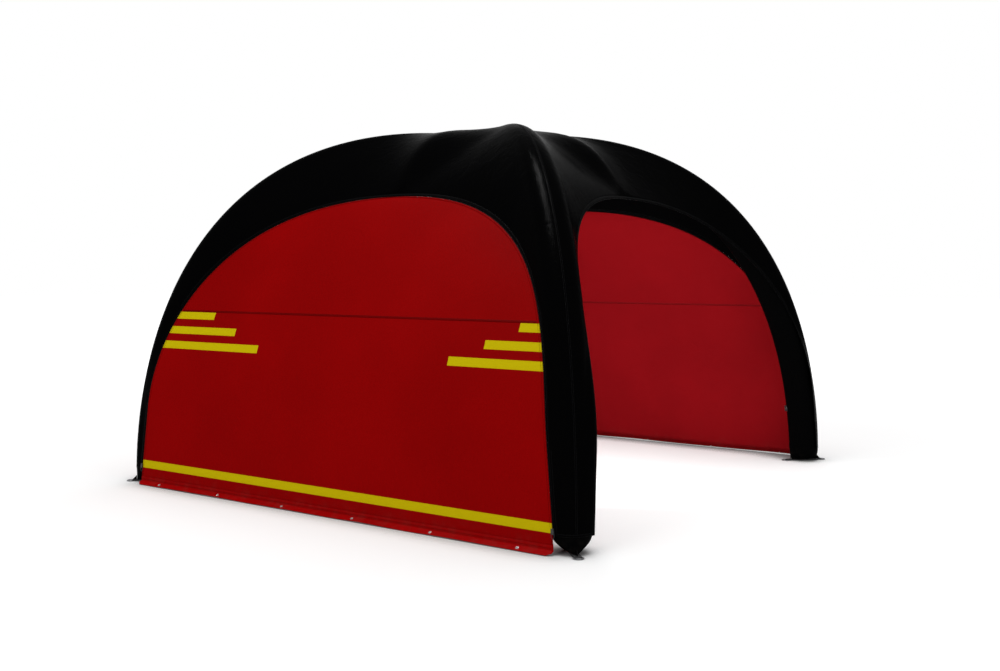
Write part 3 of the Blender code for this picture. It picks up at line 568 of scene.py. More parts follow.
sleeve_cloth = black("black_sleeve_cloth", 0.55, 0.004)
black_seam = black("black_seam_cloth", 0.40, 0.0012, rows=SEAM_ROWS, crease=0.0003)
sleeve_rows = tube_rows(0.0, SLEEVE_CROWN_GAP, SLEEVE_COLUMNS)
seam_stations = np.linspace(LOW_S + 0.005, 1.46, 120)
for corner, degrees in LEG_ANGLES.items():
    sleeve = leg_skin(f"sleeve_cloth_{corner}", corner, sleeve_rows, SLEEVE_THICKNESS, sleeve_cloth)
    seam = leg_seam(f"sleeve_seam_{corner}", seam_stations, math.pi, SEAM_LIFT, 4, degrees)
    belongs(sleeve, f"leg_sleeve_{corner}")
    belongs(seam, f"leg_sleeve_{corner}")

# Crown patch: a square of doubled black cloth with rounded corners, sewn under the crown
# over the mitres of the four sleeves.
PATCH_HALF = 0.17
PATCH_CORNER = 0.03
PATCH_STEPS = 24
patch_low, patch_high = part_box("crown_patch")


def rounded(x, y):
    """A place in a square, drawn in so that the square's corners are round."""
    inner = PATCH_HALF - PATCH_CORNER
    dx, dy = max(abs(x) - inner, 0.0), max(abs(y) - inner, 0.0)
    if dx == 0 or dy == 0:
        return x, y
    pull = max(dx, dy) / math.hypot(dx, dy)
    return math.copysign(inner + dx * pull, x), math.copysign(inner + dy * pull, y)


patch_cloth = black("black_patch_cloth", 0.50, 0.01, rows=(0.006, 0.334), crease=0.0006)
patch_line = np.linspace(-PATCH_HALF, PATCH_HALF, PATCH_STEPS + 1)
patch_rows = [[(*rounded(x, y), patch_high.z) for x in patch_line] for y in patch_line]
patch_thickness = patch_high.z - patch_low.z
patch_rows = turned(patch_rows, 45.0)
patch = cloth_piece("crown_patch_cloth", [patch_rows], patch_cloth, patch_thickness, INDOORS, -1.0)
belongs(patch, "crown_patch")

# Valves: black moulded plastic, one low on the inner side of each leg, clamped through
# sleeve and bladder. Each has a sprung plunger in its cup and a hinged cap over it.
VALVE_BLACK = (0.010, 0.010, 0.011)
VALVE_GREY = (0.045, 0.045, 0.048)


def plastic(name, colour, worn):
    """Moulded plastic with a fine spark-eroded grain and rubbed patches."""
    made, tree, place, uv = new_material(name, 0.45)
    rubbed = smooth_step(tree, noise_node(tree, place, 90.0, 4.0), 0.45, 0.70)
    gloss = smooth_step(tree, rubbed, 0.0, 1.0, 0.46, 0.32)
    grain = noise_node(tree, place, 2400.0, 2.0)
    surface(tree, blended(tree, rubbed, colour, worn), gloss, [(grain, 0.00015)])
    return made


def refinish(node, finish):
    """Give a CAD node that stays in view its own finish."""
    for slot in frame["nodes"][node].material_slots:
        slot.material = finish


valve_black = plastic("valve_black", VALVE_BLACK, (0.022, 0.022, 0.024))
valve_grey = plastic("valve_grey", VALVE_GREY, (0.075, 0.075, 0.080))
for corner in LEG_ANGLES:
    refinish(f"valve_body_{corner}", valve_black)
    refinish(f"valve_cap_{corner}", valve_black)
    refinish(f"valve_plunger_{corner}", valve_grey)

# Foot straps: a loop of stiff grey webbing under each leg, filled with folded layers and
# sewn through, with a steel ring in each end and a folded gusset up to the leg.
STRAP_HALF_LENGTH = 0.165
STRAP_WIDTH = 0.05
BAND = 0.0016
FILLING = 0.0021
FILLING_GAP = 0.0001
FILLING_HALF = 0.138
FILLING_WIDTH = 0.97
RING_WIRE = 0.003
RING_HALF_WIDTH = 0.031
RING_STRAIGHT = 0.010
RING_CORNER = 0.004
GUSSET_SIZE = (0.032, 0.0038, 0.036)
GUSSET_NOSE = 0.004
GUSSET_BEVEL = 0.0009
GUSSET_FOOT = FOOT_REACH + FOOT_RADIUS + FOOT_GAP
WEBBING = (0.028, 0.028, 0.029)
WEBBING_THREAD = (0.060, 0.060, 0.062)

webbing = cloth(
    "grey_webbing", WEBBING, WEBBING_THREAD, 0.75, 0.25,
    rows=(0.006, 0.044), swell=0.002, crease=0.0004, pitch=0.0026,
)
strap_end = STRAP_HALF_LENGTH - STRAP_THICKNESS / 2
strap_line = [(x, STRAP_THICKNESS) for x in np.linspace(-strap_end, strap_end, 24)]
for side, first in ((1.0, 90.0), (-1.0, 270.0)):
    for step in range(1, 9):
        a = math.radians(first - 180.0 * step / 8)
        reach = STRAP_THICKNESS / 2
        strap_line.append((side * strap_end + reach * math.cos(a), reach + reach * math.sin(a)))
    if side > 0:
        strap_line += [(x, 0.0) for x in np.linspace(strap_end, -strap_end, 24)[1:]]
strap_sides = np.linspace(-STRAP_WIDTH / 2, STRAP_WIDTH / 2, 5)
band_rows = np.array([[(FOOT_REACH + x, y, z) for y in strap_sides] for x, z in strap_line])
filling_line = np.linspace(-FILLING_HALF, FILLING_HALF, 12)
filling_rows = []
for layer in range(3):
    z = BAND + FILLING_GAP + layer * (FILLING + FILLING_GAP)
    rows = [[(FOOT_REACH + x, y * FILLING_WIDTH, z) for y in strap_sides] for x in filling_line]
    filling_rows.append(np.array(rows))


def steel(name, dark, bright, scale, rough):
    """Zinc-plated steel with fine drawn scratches."""
    made, tree, place, uv = new_material(name, metallic=1.0)
    scratches = noise_node(tree, place, scale, 4.0)
    gloss = smooth_step(tree, scratches, 0.3, 0.7, rough - 0.07, rough + 0.10)
    surface(tree, blended(tree, scratches, dark, bright), gloss, [(scratches, 0.0001)])
    return made


def bent_wire(name, points, radius, finish):
    """A closed round wire through the points, as a mesh."""
    curve = bpy.data.curves.new(name, "CURVE")
    curve.dimensions = "3D"
    curve.bevel_depth = radius
    curve.bevel_resolution = 4
    line = curve.splines.new("POLY")
    line.points.add(len(points) - 1)
    for point, spot in zip(line.points, points):
        point.co = (*spot, 1.0)
    line.use_cyclic_u = True
    made = bpy.data.objects.new(name, curve)
    scene.collection.objects.link(made)
    select_only(made)
    bpy.ops.object.convert(target="MESH")
    made = bpy.context.object
    made.data.materials.clear()
    made.data.materials.append(finish)
    made.data.shade_smooth()
    return made


ring_steel = steel("ring_steel", (0.10, 0.10, 0.11), (0.22, 0.22, 0.23), 320.0, 0.34)
ring_line = [(0.0, y, 0.0) for y in np.linspace(-1, 1, 12) * (RING_HALF_WIDTH - RING_CORNER)]
ring_corner = []
for step in range(1, 5):
    a = math.radians(22.5 * step)
    across = RING_HALF_WIDTH - RING_CORNER * (1 - math.sin(a))
    ring_corner.append((RING_CORNER * (1 - math.cos(a)), across, 0.0))
ring_line += ring_corner
for step in range(33):
    a = math.radians(90.0 - 180.0 * step / 32)
    ring_line.append((RING_STRAIGHT + RING_HALF_WIDTH * math.cos(a), RING_HALF_WIDTH * math.sin(a), 0.0))
ring_line += [(x, -y, z) for x, y, z in reversed(ring_corner)]
gusset_cloth = black("black_gusset", 0.55, 0.02, crease=0.0003, pitch=0.0018)
for corner, degrees in LEG_ANGLES.items():
    middle = turned((FOOT_REACH, 0.0, STRAP_THICKNESS / 2), degrees)
    band_turn = np.concatenate([band_rows, band_rows[:1]])
    band = cloth_piece(f"strap_band_{corner}", [turned(band_turn, degrees)], webbing, BAND, middle, -1.0)
    below = middle - (0.0, 0.0, 1.0)
    layers = [turned(rows, degrees) for rows in filling_rows]
    filling = cloth_piece(f"strap_filling_{corner}", layers, webbing, FILLING, below)
    belongs(band, f"foot_strap_{corner}")
    belongs(filling, f"foot_strap_{corner}")

    gusset = primitive(bpy.ops.mesh.primitive_cube_add, size=1.0)
    gusset.name = f"gusset_cloth_{corner}"
    finish_by_hand(
        gusset,
        (bpy.ops.transform.translate, {"value": (0.5, 0.0, 0.5)}),
        (bpy.ops.transform.resize, {"value": GUSSET_SIZE, "center_override": (0.0, 0.0, 0.0)}),
    )
    for vertex in gusset.data.vertices:
        if vertex.co.x > GUSSET_SIZE[0] / 2 and vertex.co.z > GUSSET_SIZE[2] / 2:
            vertex.co.z = GUSSET_NOSE
    finish_by_hand(
        gusset,
        (bpy.ops.mesh.bevel, {"offset": GUSSET_BEVEL, "segments": 2, "affect": "EDGES"}),
        (bpy.ops.uv.cube_project, {"cube_size": 1.0}),
    )
    place = Matrix.Translation((GUSSET_FOOT, 0.0, STRAP_THICKNESS + FOOT_GAP))
    gusset.data.transform(Matrix.Rotation(math.radians(degrees), 4, "Z") @ place)
    gusset.data.materials.append(gusset_cloth)
    gusset.data.shade_smooth()
    belongs(gusset, f"foot_gusset_{corner}")

    for end, side in (("outer", 1.0), ("inner", -1.0)):
        node = f"foot_ring_{end}_{corner}"
        spots = np.array(ring_line) * (side, side, 1.0)
        spots += (FOOT_REACH + side * strap_end, 0.0, STRAP_THICKNESS / 2)
        ring = bent_wire(f"ring_wire_{end}_{corner}", turned(spots, degrees), RING_WIRE, ring_steel)
        belongs(ring, node, node)

# Canopy: one black cover of eight half gores that lies over the air legs and spans
# between them. It is sewn along each leg's ridge and bound along its arches and feet.
EDGE_FOOT_AHEAD = 0.0762
EDGE_FOOT_BESIDE = 0.1230
ZIP_RUN_AHEAD = 0.0591
ZIP_RUN_BESIDE = 0.1541
ZIP_RUN_HEIGHT = 0.62
ARCH_HANDLE = 0.80
ARCH_SHOULDER_HALF = 1.53
ARCH_SHOULDER_OUT = 1.40
ARCH_TOP_OUT = 1.27
ARCH_TOP_HEIGHT = 2.264
VALLEY_FULLNESS = 4.9
CANOPY_CLOTH = 0.001
SEAM_REACH = 0.0054
CANOPY_INSET = 0.0058
RIDGE_STEPS = 9
SPAN_STEPS = 16
ARCH_ROWS = 66
TAUT_ROUNDS = 12
EDGE_STEP = 0.002
PUCKER_SIZE = 0.34
PUCKER_DEPTH = 0.0035
WALL_ANGLES = {"front": 0.0, "back": 180.0, "left": -90.0, "right": 90.0}
CLOSED_SIDES = ("front", "back", "left")
ROOF_TOP = CROWN_HEIGHT + CROWN_RADIUS + LAYER_GAP


def beside_leg(height, ahead, beside):
    """A place beside a leg's line, as (half width, distance out, height) of the wall there."""
    s = crossing(lambda s: leg_centre(s)[2] - height, 0.0, 1.0)
    reach = leg_centre(s)[0] + ahead
    return np.array(((reach - beside) / math.sqrt(2), (reach + beside) / math.sqrt(2), height))


EDGE_FOOT = beside_leg(0.0, EDGE_FOOT_AHEAD, EDGE_FOOT_BESIDE)
EDGE_RUN = beside_leg(ZIP_RUN_HEIGHT, ZIP_RUN_AHEAD, ZIP_RUN_BESIDE)
ARCH_LINE = (
    EDGE_RUN,
    EDGE_RUN + unit(EDGE_RUN - EDGE_FOOT) * ARCH_HANDLE,
    np.array((ARCH_SHOULDER_HALF, ARCH_SHOULDER_OUT, ARCH_TOP_HEIGHT)),
    np.array((0.0, ARCH_TOP_OUT, ARCH_TOP_HEIGHT)),
)


def edge_point(v):
    """The zip line as (half width, distance out, height): v runs to 1 up its straight foot,
    to 2 at the top of the arch, and to 3 up the middle of the roof to the crown."""
    if v <= 1:
        return EDGE_FOOT + (EDGE_RUN - EDGE_FOOT) * v
    if v <= 2:
        return cubic(ARCH_LINE, v - 1)
    share = 3 - v
    fall = (ROOF_TOP - ARCH_TOP_HEIGHT) * share**VALLEY_FULLNESS
    return np.array((0.0, ARCH_TOP_OUT * share, ROOF_TOP - fall))


def edge_heading(v):
    """The zip line's way up at v, in a wall's frame."""
    return edge_point(min(v + EDGE_STEP, 2.0)) - edge_point(max(v - EDGE_STEP, 0.0))


def in_leg(place):
    half, out, height = place
    return np.array(((half + out) / math.sqrt(2), (out - half) / math.sqrt(2), height))


def edge_beside(s):
    """The zip line's v in the plane across a leg at s."""
    centre, heading = leg_centre(s), leg_heading(s)
    return crossing(lambda v: (in_leg(edge_point(v)) - centre) @ heading, 0.0, 3.0)


arch_top = in_leg(edge_point(2.0))
TOP_S = crossing(lambda s: -(arch_top - leg_centre(s)) @ leg_heading(s), 0.0, 1.0)
ARCH_TOP_RUN = np.array((1.0, -1.0, 0.0))
STATIONS = np.concatenate([
    np.linspace(LOW_S, TOP_S, ARCH_ROWS),
    np.linspace(TOP_S, 1.0, 12)[1:],
    np.linspace(1.0, 2.0, 14)[1:],
])
EDGE_VS = [edge_beside(s) for s in STATIONS[: ARCH_ROWS - 1]] + [2.0]


def squared(directions, lines):
    """Directions less their part along lines, at unit length."""
    lines = unit(lines)
    return unit(directions - lines * (directions * lines).sum(axis=-1, keepdims=True))


def half_gore_row(index, s):
    """Round the tube from its ridge to where a tight skin leaves it, then straight to the edge."""
    v = EDGE_VS[index] if index < ARCH_ROWS else edge_beside(s)
    edge = in_leg(edge_point(v))
    tube = leg_radius(s) + LAYER_GAP
    x, y = (edge - leg_centre(s)) @ ACROSS, (edge - leg_centre(s)) @ leg_outward(s)
    far = max(math.hypot(x, y), tube * 1.000001)
    touch = max(math.atan2(x, y) - math.acos(tube / far), 0.0)
    leave = on_leg(s, touch, LAYER_GAP)
    if index < ARCH_ROWS:
        heading = in_leg(edge_point(v) - edge_point(v - EDGE_STEP)) if v < 2 else ARCH_TOP_RUN
        edge = edge + squared(leave - edge, heading) * CANOPY_INSET
    row = [on_leg(s, touch * j / RIDGE_STEPS, LAYER_GAP) for j in range(RIDGE_STEPS)]
    return row + [leave + (edge - leave) * j / SPAN_STEPS for j in range(SPAN_STEPS + 1)]


def taut_half_gore():
    """Half a gore drawn taut: free points settle between their neighbours, outside the tube,
    and the gore beside it is its mirror image."""
    grid = np.array([half_gore_row(i, s) for i, s in enumerate(STATIONS)])
    centres = np.array([leg_centre(s) for s in STATIONS])
    outwards = np.array([leg_outward(s) for s in STATIONS])
    tubes = np.array([leg_radius(s) + LAYER_GAP for s in STATIONS])
    for _ in range(TAUT_ROUNDS):
        wide = np.concatenate([grid[:, 1:2] * (1, -1, 1), grid, grid[:, -2:-1, [1, 0, 2]]], axis=1)
        beside = (wide[1:-1, :-2] + wide[1:-1, 2:]) / 2
        moved = grid.copy()
        moved[1:-1] = 0.5 * grid[1:-1] + 0.3 * beside + 0.1 * (grid[:-2] + grid[2:])
        moved[:, 0] = grid[:, 0]
        moved[:ARCH_ROWS, -1] = grid[:ARCH_ROWS, -1]
        off = moved - centres[:, None]
        x, y = off @ ACROSS, np.einsum("ijk,ik->ij", off, outwards)
        far = np.hypot(x, y)
        push = np.maximum(tubes[:, None] - far, 0.0) / np.maximum(far, CANOPY_CLOTH)
        moved += push[..., None] * (x[..., None] * ACROSS + y[..., None] * outwards[:, None])
        grid = moved
    return grid


def outer_normals(rows):
    """Unit normals over rows of points, pointing out of the tent."""
    normals = np.cross(np.gradient(rows, axis=0), np.gradient(rows, axis=1))
    normals /= np.maximum(np.linalg.norm(normals, axis=2, keepdims=True), 1e-12)
    return normals * np.sign((normals * (rows - INDOORS)).sum(axis=2, keepdims=True))


def faded(count, start, rise, fall):
    """A share for each of a count of lines: 0 up to a start, then 1, and 0 again at the end."""
    index = np.arange(count)
    return np.clip(np.minimum((index - start) / rise, (count - 2 - index) / fall), 0, 1)


HALF_GORE = taut_half_gore()
pucker_share = faded(len(STATIONS), 0, 6, 20)[:, None] * faded(HALF_GORE.shape[1], RIDGE_STEPS, 4, 4)
canopy_patches = []
for degrees in LEG_ANGLES.values():
    for side in (1.0, -1.0):
        patch = turned(HALF_GORE * (1.0, side, 1.0), degrees)
        pucker = np.array([noise.noise(Vector(p) / PUCKER_SIZE) for p in patch.reshape(-1, 3)])
        pucker = np.maximum(pucker.reshape(pucker_share.shape), -0.15) * PUCKER_DEPTH * pucker_share
        canopy_patches.append(patch + outer_normals(patch) * pucker[..., None])
canopy_cloth = black("black_canopy_cloth", 0.25, 0.0007, dust=0.03)
canopy = cloth_piece("canopy", canopy_patches, canopy_cloth, CANOPY_CLOTH, INDOORS)

# Its trim is tape over each ridge seam, binding inside and outside each arch, binding
# round each foot, and a round patch where the ridges meet
BINDING_WIDTH = 0.022
BINDING_CLOTH = 0.0008
TRIM_LIFT = CANOPY_CLOTH + SEAM_LIFT
CROWN_CAP_RADIUS = 0.055
CROWN_CAP_LIFT = 0.0019
CROWN_CAP_SAG = 0.12


def to_wall(points):
    """Leg-frame points and directions in the frame of the wall beside them, which faces -Y."""
    x, y, z = np.moveaxis(np.asarray(points), -1, 0)
    return np.stack([(x - y) / math.sqrt(2), -(x + y) / math.sqrt(2), z], axis=-1)


def both_sides(line):
    """An arch's whole line from its right half: up from the left foot, then down to the right."""
    return np.concatenate([line * (-1.0, 1.0, 1.0), line[::-1][1:]])


arch_edge = to_wall(HALF_GORE[:ARCH_ROWS, -1])
arch_run = np.gradient(arch_edge, axis=0)
arch_run[-1] = (1.0, 0.0, 0.0)
arch_ways = squared(to_wall(HALF_GORE[:ARCH_ROWS, -2]) - arch_edge, arch_run)
arch_normals = unit(np.cross(arch_run, arch_ways))
arch_normals *= np.sign((arch_normals * (arch_edge - INDOORS)).sum(axis=1, keepdims=True))
binding_cloth = black("black_binding", 0.55, 0.004, rows=(0.004, 0.018), crease=0.0002)
trim = []
for face, degrees in WALL_ANGLES.items():
    for name, lift, side in (("outside", TRIM_LIFT, 1.0), ("inside", -SEAM_LIFT, -1.0)):
        lines = [
            turned(both_sides(arch_edge + arch_ways * reach + arch_normals * lift), degrees)
            for reach in np.linspace(0.0, BINDING_WIDTH, 4)
        ]
        ways = turned(both_sides(arch_normals * side), degrees)
        trim.append(strip(f"arch_binding_{name}_{face}", lines, binding_cloth, BINDING_CLOTH, ways))

ridge_stations = np.linspace(LOW_S, 1.93, 150)
foot_line = np.concatenate([HALF_GORE[0, :0:-1] * (1, -1, 1), HALF_GORE[0]])
foot_above = np.concatenate([HALF_GORE[2, :0:-1] * (1, -1, 1), HALF_GORE[2]])
foot_ways = unit(foot_line - leg_centre(LOW_S))
foot_rise = unit(foot_above - foot_line)
for corner, degrees in LEG_ANGLES.items():
    ridge_lift = LAYER_GAP + TRIM_LIFT
    trim.append(leg_seam(f"ridge_seam_{corner}", ridge_stations, 0.0, ridge_lift, 5, degrees))
    lines = [
        turned(foot_line + foot_rise * reach + foot_ways * TRIM_LIFT, degrees)
        for reach in np.linspace(0.0, BINDING_WIDTH, 3)
    ]
    ways = turned(foot_ways, degrees)
    trim.append(strip(f"foot_binding_{corner}", lines, binding_cloth, BINDING_CLOTH, ways))

cap_cloth = black("black_crown_cap", 0.55, 0.004, rows=(0.048,), crease=0.0002)
cap_reaches = np.linspace(0.0, CROWN_CAP_RADIUS, 7)
cap_top = ROOF_TOP + CROWN_CAP_LIFT
cap_rows = [
    [(r * math.cos(a), r * math.sin(a), cap_top - CROWN_CAP_SAG * r * r) for r in cap_reaches]
    for a in np.linspace(0.0, 2 * math.pi, 49)
]
trim.append(cloth_piece("crown_cap", [cap_rows], cap_cloth, CANOPY_CLOTH, INDOORS))
for piece in [canopy] + trim:
    belongs(piece, "roof_canopy")

# Zips: black coil zips along the four arches. Each has a tape sewn behind its canopy edge
# and, where there is a wall, one behind the wall's edge, with a row of teeth on each.
TOOTH_PITCH = 0.0042
TOOTH_SIZE = (0.0030, 0.0021, 0.0018)
TOOTH_STAGGER = 0.0007
TOOTH_BEVEL = 0.0004
TAPE_CLOTH = 0.0006
TAPE_NEAR = 0.0028
TAPE_FAR = 0.0130
TAPE_MIDDLE = (0.00004, 0.0013)
TAPE_CANOPY_LIFT = 0.0011
TAPE_WALL_LIFT = 0.0017
WALL_MIDDLE = np.array((0.0, -1.7, 1.0))
TO_FRONT = (1.0, -1.0, 1.0)

zip_black, tree, place, uv = new_material("black_zip_nylon", 0.06)
speck = noise_node(tree, place, 900.0)
nylon_tone = blended(tree, speck, (0.004, 0.004, 0.0045), (0.012, 0.012, 0.013))
surface(tree, nylon_tone, smooth_step(tree, speck, 0.3, 0.7, 0.32, 0.48), [(speck, 0.0002)])
tape_cloth = black("black_zip_tape", 0.55, 0.006, rows=(0.002,), crease=0.0001, pitch=0.0009)

tooth = primitive(bpy.ops.mesh.primitive_cube_add, size=1.0)
finish_by_hand(
    tooth,
    (bpy.ops.transform.resize, {"value": TOOTH_SIZE}),
    (bpy.ops.mesh.bevel, {"offset": TOOTH_BEVEL, "segments": 1, "affect": "EDGES"}),
)
tooth_points = np.array([v.co for v in tooth.data.vertices])
tooth_faces = [list(f.vertices) for f in tooth.data.polygons]
bpy.data.objects.remove(tooth, do_unlink=True)


def wall_slope(v):
    """A wall's way up its slope beside the zip line, in the wall's frame."""
    rise = edge_heading(v)
    return unit(np.array((0.0, -rise[1], rise[2] + 1e-6)))


def wall_normal(v):
    slope = wall_slope(v)
    return np.array((0.0, -slope[2], slope[1]))


def into_wall(places, directions):
    """Directions flipped where need be, so that all point from their places into the wall."""
    return directions * np.sign((directions * (WALL_MIDDLE - places)).sum(axis=-1, keepdims=True))


zip_half = np.array([edge_point(v) for v in EDGE_VS]) * TO_FRONT
zip_run = np.gradient(zip_half, axis=0)
wall_normals = np.array([wall_normal(v) for v in EDGE_VS])
wall_ways = into_wall(zip_half, unit(np.cross(wall_normals, zip_run)))
zip_normals = unit(wall_normals + arch_normals)
zip_ways = into_wall(zip_half, unit(np.cross(zip_normals, zip_run)))
fold = zip_half - zip_normals * TAPE_MIDDLE[1]
tape_lines = {
    "canopy": (
        zip_half + arch_ways * TAPE_FAR - arch_normals * TAPE_CANOPY_LIFT,
        zip_half + arch_ways * TAPE_NEAR - arch_normals * TAPE_CANOPY_LIFT,
        fold - zip_ways * TAPE_MIDDLE[0],
    ),
    "wall": (
        fold + zip_ways * TAPE_MIDDLE[0],
        zip_half + wall_ways * TAPE_NEAR - wall_normals * TAPE_WALL_LIFT,
        zip_half + wall_ways * TAPE_FAR - wall_normals * TAPE_WALL_LIFT,
    ),
}
zip_line, zip_normals = both_sides(zip_half), both_sides(zip_normals)
zip_reach = np.concatenate([[0.0], np.cumsum(np.linalg.norm(np.diff(zip_line, axis=0), axis=1))])
tooth_reach = np.arange(TOOTH_PITCH, zip_reach[-1] - TOOTH_PITCH, TOOTH_PITCH)


def at_teeth(values):
    return np.stack([np.interp(tooth_reach, zip_reach, values[:, k]) for k in range(3)], axis=1)


tooth_spots = at_teeth(zip_line)
tooth_normals = unit(at_teeth(zip_normals))
tooth_headings = unit(np.gradient(tooth_spots, axis=0))
tooth_sides = unit(np.cross(tooth_normals, tooth_headings))
tooth_spots[::2] += tooth_sides[::2] * TOOTH_STAGGER
tooth_spots[1::2] -= tooth_sides[1::2] * TOOTH_STAGGER
tooth_axes = np.stack([tooth_sides, tooth_headings, tooth_normals], axis=1)
chain_points = np.einsum("pk,tkx->tpx", tooth_points, tooth_axes) + tooth_spots[:, None]
tooth_size = len(tooth_points)
for face, degrees in WALL_ANGLES.items():
    teeth = turned(chain_points, degrees)
    if face not in CLOSED_SIDES:
        teeth = teeth[::2]
    mesh = bpy.data.meshes.new(f"zip_chain_{face}")
    mesh.from_pydata(
        [tuple(p) for p in teeth.reshape(-1, 3)],
        [],
        [[index * tooth_size + k for k in one] for index in range(len(teeth)) for one in tooth_faces],
    )
    mesh.materials.append(zip_black)
    chain = bpy.data.objects.new(f"zip_chain_{face}", mesh)
    scene.collection.objects.link(chain)
    finish_by_hand(chain, (bpy.ops.mesh.normals_make_consistent, {"inside": False}))
    belongs(chain, f"zip_{face}")
    for name in ("canopy", "wall") if face in CLOSED_SIDES else ("canopy",):
        lines = [turned(both_sides(line), degrees) for line in tape_lines[name]]
        ways = turned(-zip_normals, degrees)
        tape = strip(f"zip_tape_{name}_{face}", lines, tape_cloth, TAPE_CLOTH, ways)
        belongs(tape, f"zip_{face}")

# Walls: three red sheets of coated cloth, each of two widths lapped at chest height and
# hemmed along the zip. The front one is printed with yellow bars and a yellow stripe.
WALL_CLOTH = 0.001
WALL_BOTTOM = 0.03
WALL_COLUMNS = 96
LAP_HEIGHT = 1.388
LAP_WIDTH = 0.015
LAP_CLOTH = 0.0007
EDGE_HEM_WIDTH = 0.016
EDGE_HEM_CLOTH = 0.0006
EDGE_HEM_LIFT = 0.0003
EDGE_HEM_BOTTOM = 0.066
EDGE_HEM_ROWS = (0.003, 0.013)
LAP_ROWS = (0.003, 0.012)
BILLOW = 0.010
RIPPLE = 0.005
RED = (0.264, 0.0014, 0.0017)
# The inner faces' pinker red is painted light: it stands in for light shining through the cloth.
RED_INSIDE_PAINTED_GLOW = (0.245, 0.0048, 0.0075)
# The lap strips' darker red is painted shade along the lapped seam; the inner lap's red is also pinker,
# painted light through the cloth.
RED_LAP_PAINTED_SHADE = (0.160, 0.0014, 0.0017)
RED_LAP_INSIDE = (0.190, 0.0060, 0.0080)
RED_THREAD = (0.060, 0.0008, 0.0010)
YELLOW = (0.550, 0.445, 0.0024)
STRIPE = (0.132, 0.193)
BARS = ((1.325, 1.380, -1.300, 1.567), (1.210, 1.266, -1.017, 1.327), (1.094, 1.152, -0.734, 1.060))


def wall_end(v):
    """The end of a wall's row beside the zip line at v, and its way into the wall."""
    here = edge_point(v) * TO_FRONT
    way = into_wall(here, unit(np.cross(wall_normal(v), edge_heading(v) * TO_FRONT)))
    return here + way * SEAM_REACH, way


def wall_end_at(height):
    return crossing(lambda v: wall_end(v)[0][2] - height, 0.0, 2.0)


def wall_row(end, seed, lift=0.0):
    """A level row of wall, which billows and ripples a little, lifted off its face."""
    row = []
    low = 1 - math.exp(-(end[2] - WALL_BOTTOM) / 0.2)
    for j in range(WALL_COLUMNS + 1):
        share = math.sin((2 * j / WALL_COLUMNS - 1) * math.pi / 2)
        bow = BILLOW * (1 - share**2)
        ripple = noise.noise(Vector((end[0] * share * 0.8, end[2] * 1.9, seed))) * RIPPLE * (1 - share**4)
        row.append((end[0] * share, end[1] + (bow + ripple) * low * min(end[0], 1.0) - lift, end[2]))
    return row


def printed(tree, place, tone):
    """Yellow bars at both sides under the lap, and one stripe near the ground."""
    x, _, z = split(tree, place)

    def between(value, low, high):
        above = math_node(tree, "GREATER_THAN", value, low)
        return math_node(tree, "MULTIPLY", above, math_node(tree, "LESS_THAN", value, high))

    ink = between(z, *STRIPE)
    for low, high, left_end, right_end in BARS:
        left = math_node(tree, "LESS_THAN", x, left_end)
        ends = math_node(tree, "ADD", left, math_node(tree, "GREATER_THAN", x, right_end))
        bar = math_node(tree, "MULTIPLY", between(z, low, high), ends)
        ink = math_node(tree, "ADD", ink, bar, clamp=True)
    return blended(tree, ink, tone, YELLOW)


def wall_cloth(name, colour, rows=(), print_over=None):
    return cloth(
        name, colour, RED_THREAD, 0.65, 0.003,
        dust=0.08, rows=rows, swell=0.008, crease=0.0008, print_over=print_over,
    )


red_cloth = wall_cloth("red_wall", RED)
red_printed = wall_cloth("red_wall_printed", RED, print_over=printed)
red_inside = wall_cloth("red_wall_inside", RED_INSIDE_PAINTED_GLOW)
red_hemmed = wall_cloth("red_edge_hem", RED, EDGE_HEM_ROWS)
red_hemmed_printed = wall_cloth("red_edge_hem_printed", RED, EDGE_HEM_ROWS, printed)
red_hemmed_inside = wall_cloth("red_edge_hem_inside", RED_INSIDE_PAINTED_GLOW, EDGE_HEM_ROWS)
red_lap = wall_cloth("red_lap", RED_LAP_PAINTED_SHADE, LAP_ROWS)
red_lap_inside = wall_cloth("red_lap_inside", RED_LAP_INSIDE, LAP_ROWS)

wall_vs = [wall_end_at(height) for height in np.linspace(WALL_BOTTOM, ZIP_RUN_HEIGHT, 14)[:-1]]
wall_vs += list(np.linspace(1.0, 1.995, 64))
wall_ends = [wall_end(v)[0] for v in wall_vs]
TOP_END = edge_point(2.0) * TO_FRONT - wall_slope(2.0) * SEAM_REACH
edge_hem_vs = [wall_end_at(EDGE_HEM_BOTTOM)] + [v for v in wall_vs if v > 0.13]
edge_hem_line = np.array([wall_end(v)[0] for v in edge_hem_vs] + [TOP_END])
edge_hem_ways = np.array([wall_end(v)[1] for v in edge_hem_vs] + [-wall_slope(2.0)])
edge_hem_normals = np.array([wall_normal(v) for v in edge_hem_vs] + [wall_normal(2.0)])
lap_heights = LAP_HEIGHT + np.linspace(-0.5, 0.5, 3) * LAP_WIDTH
lap_ends = [wall_end(wall_end_at(height))[0] for height in lap_heights]
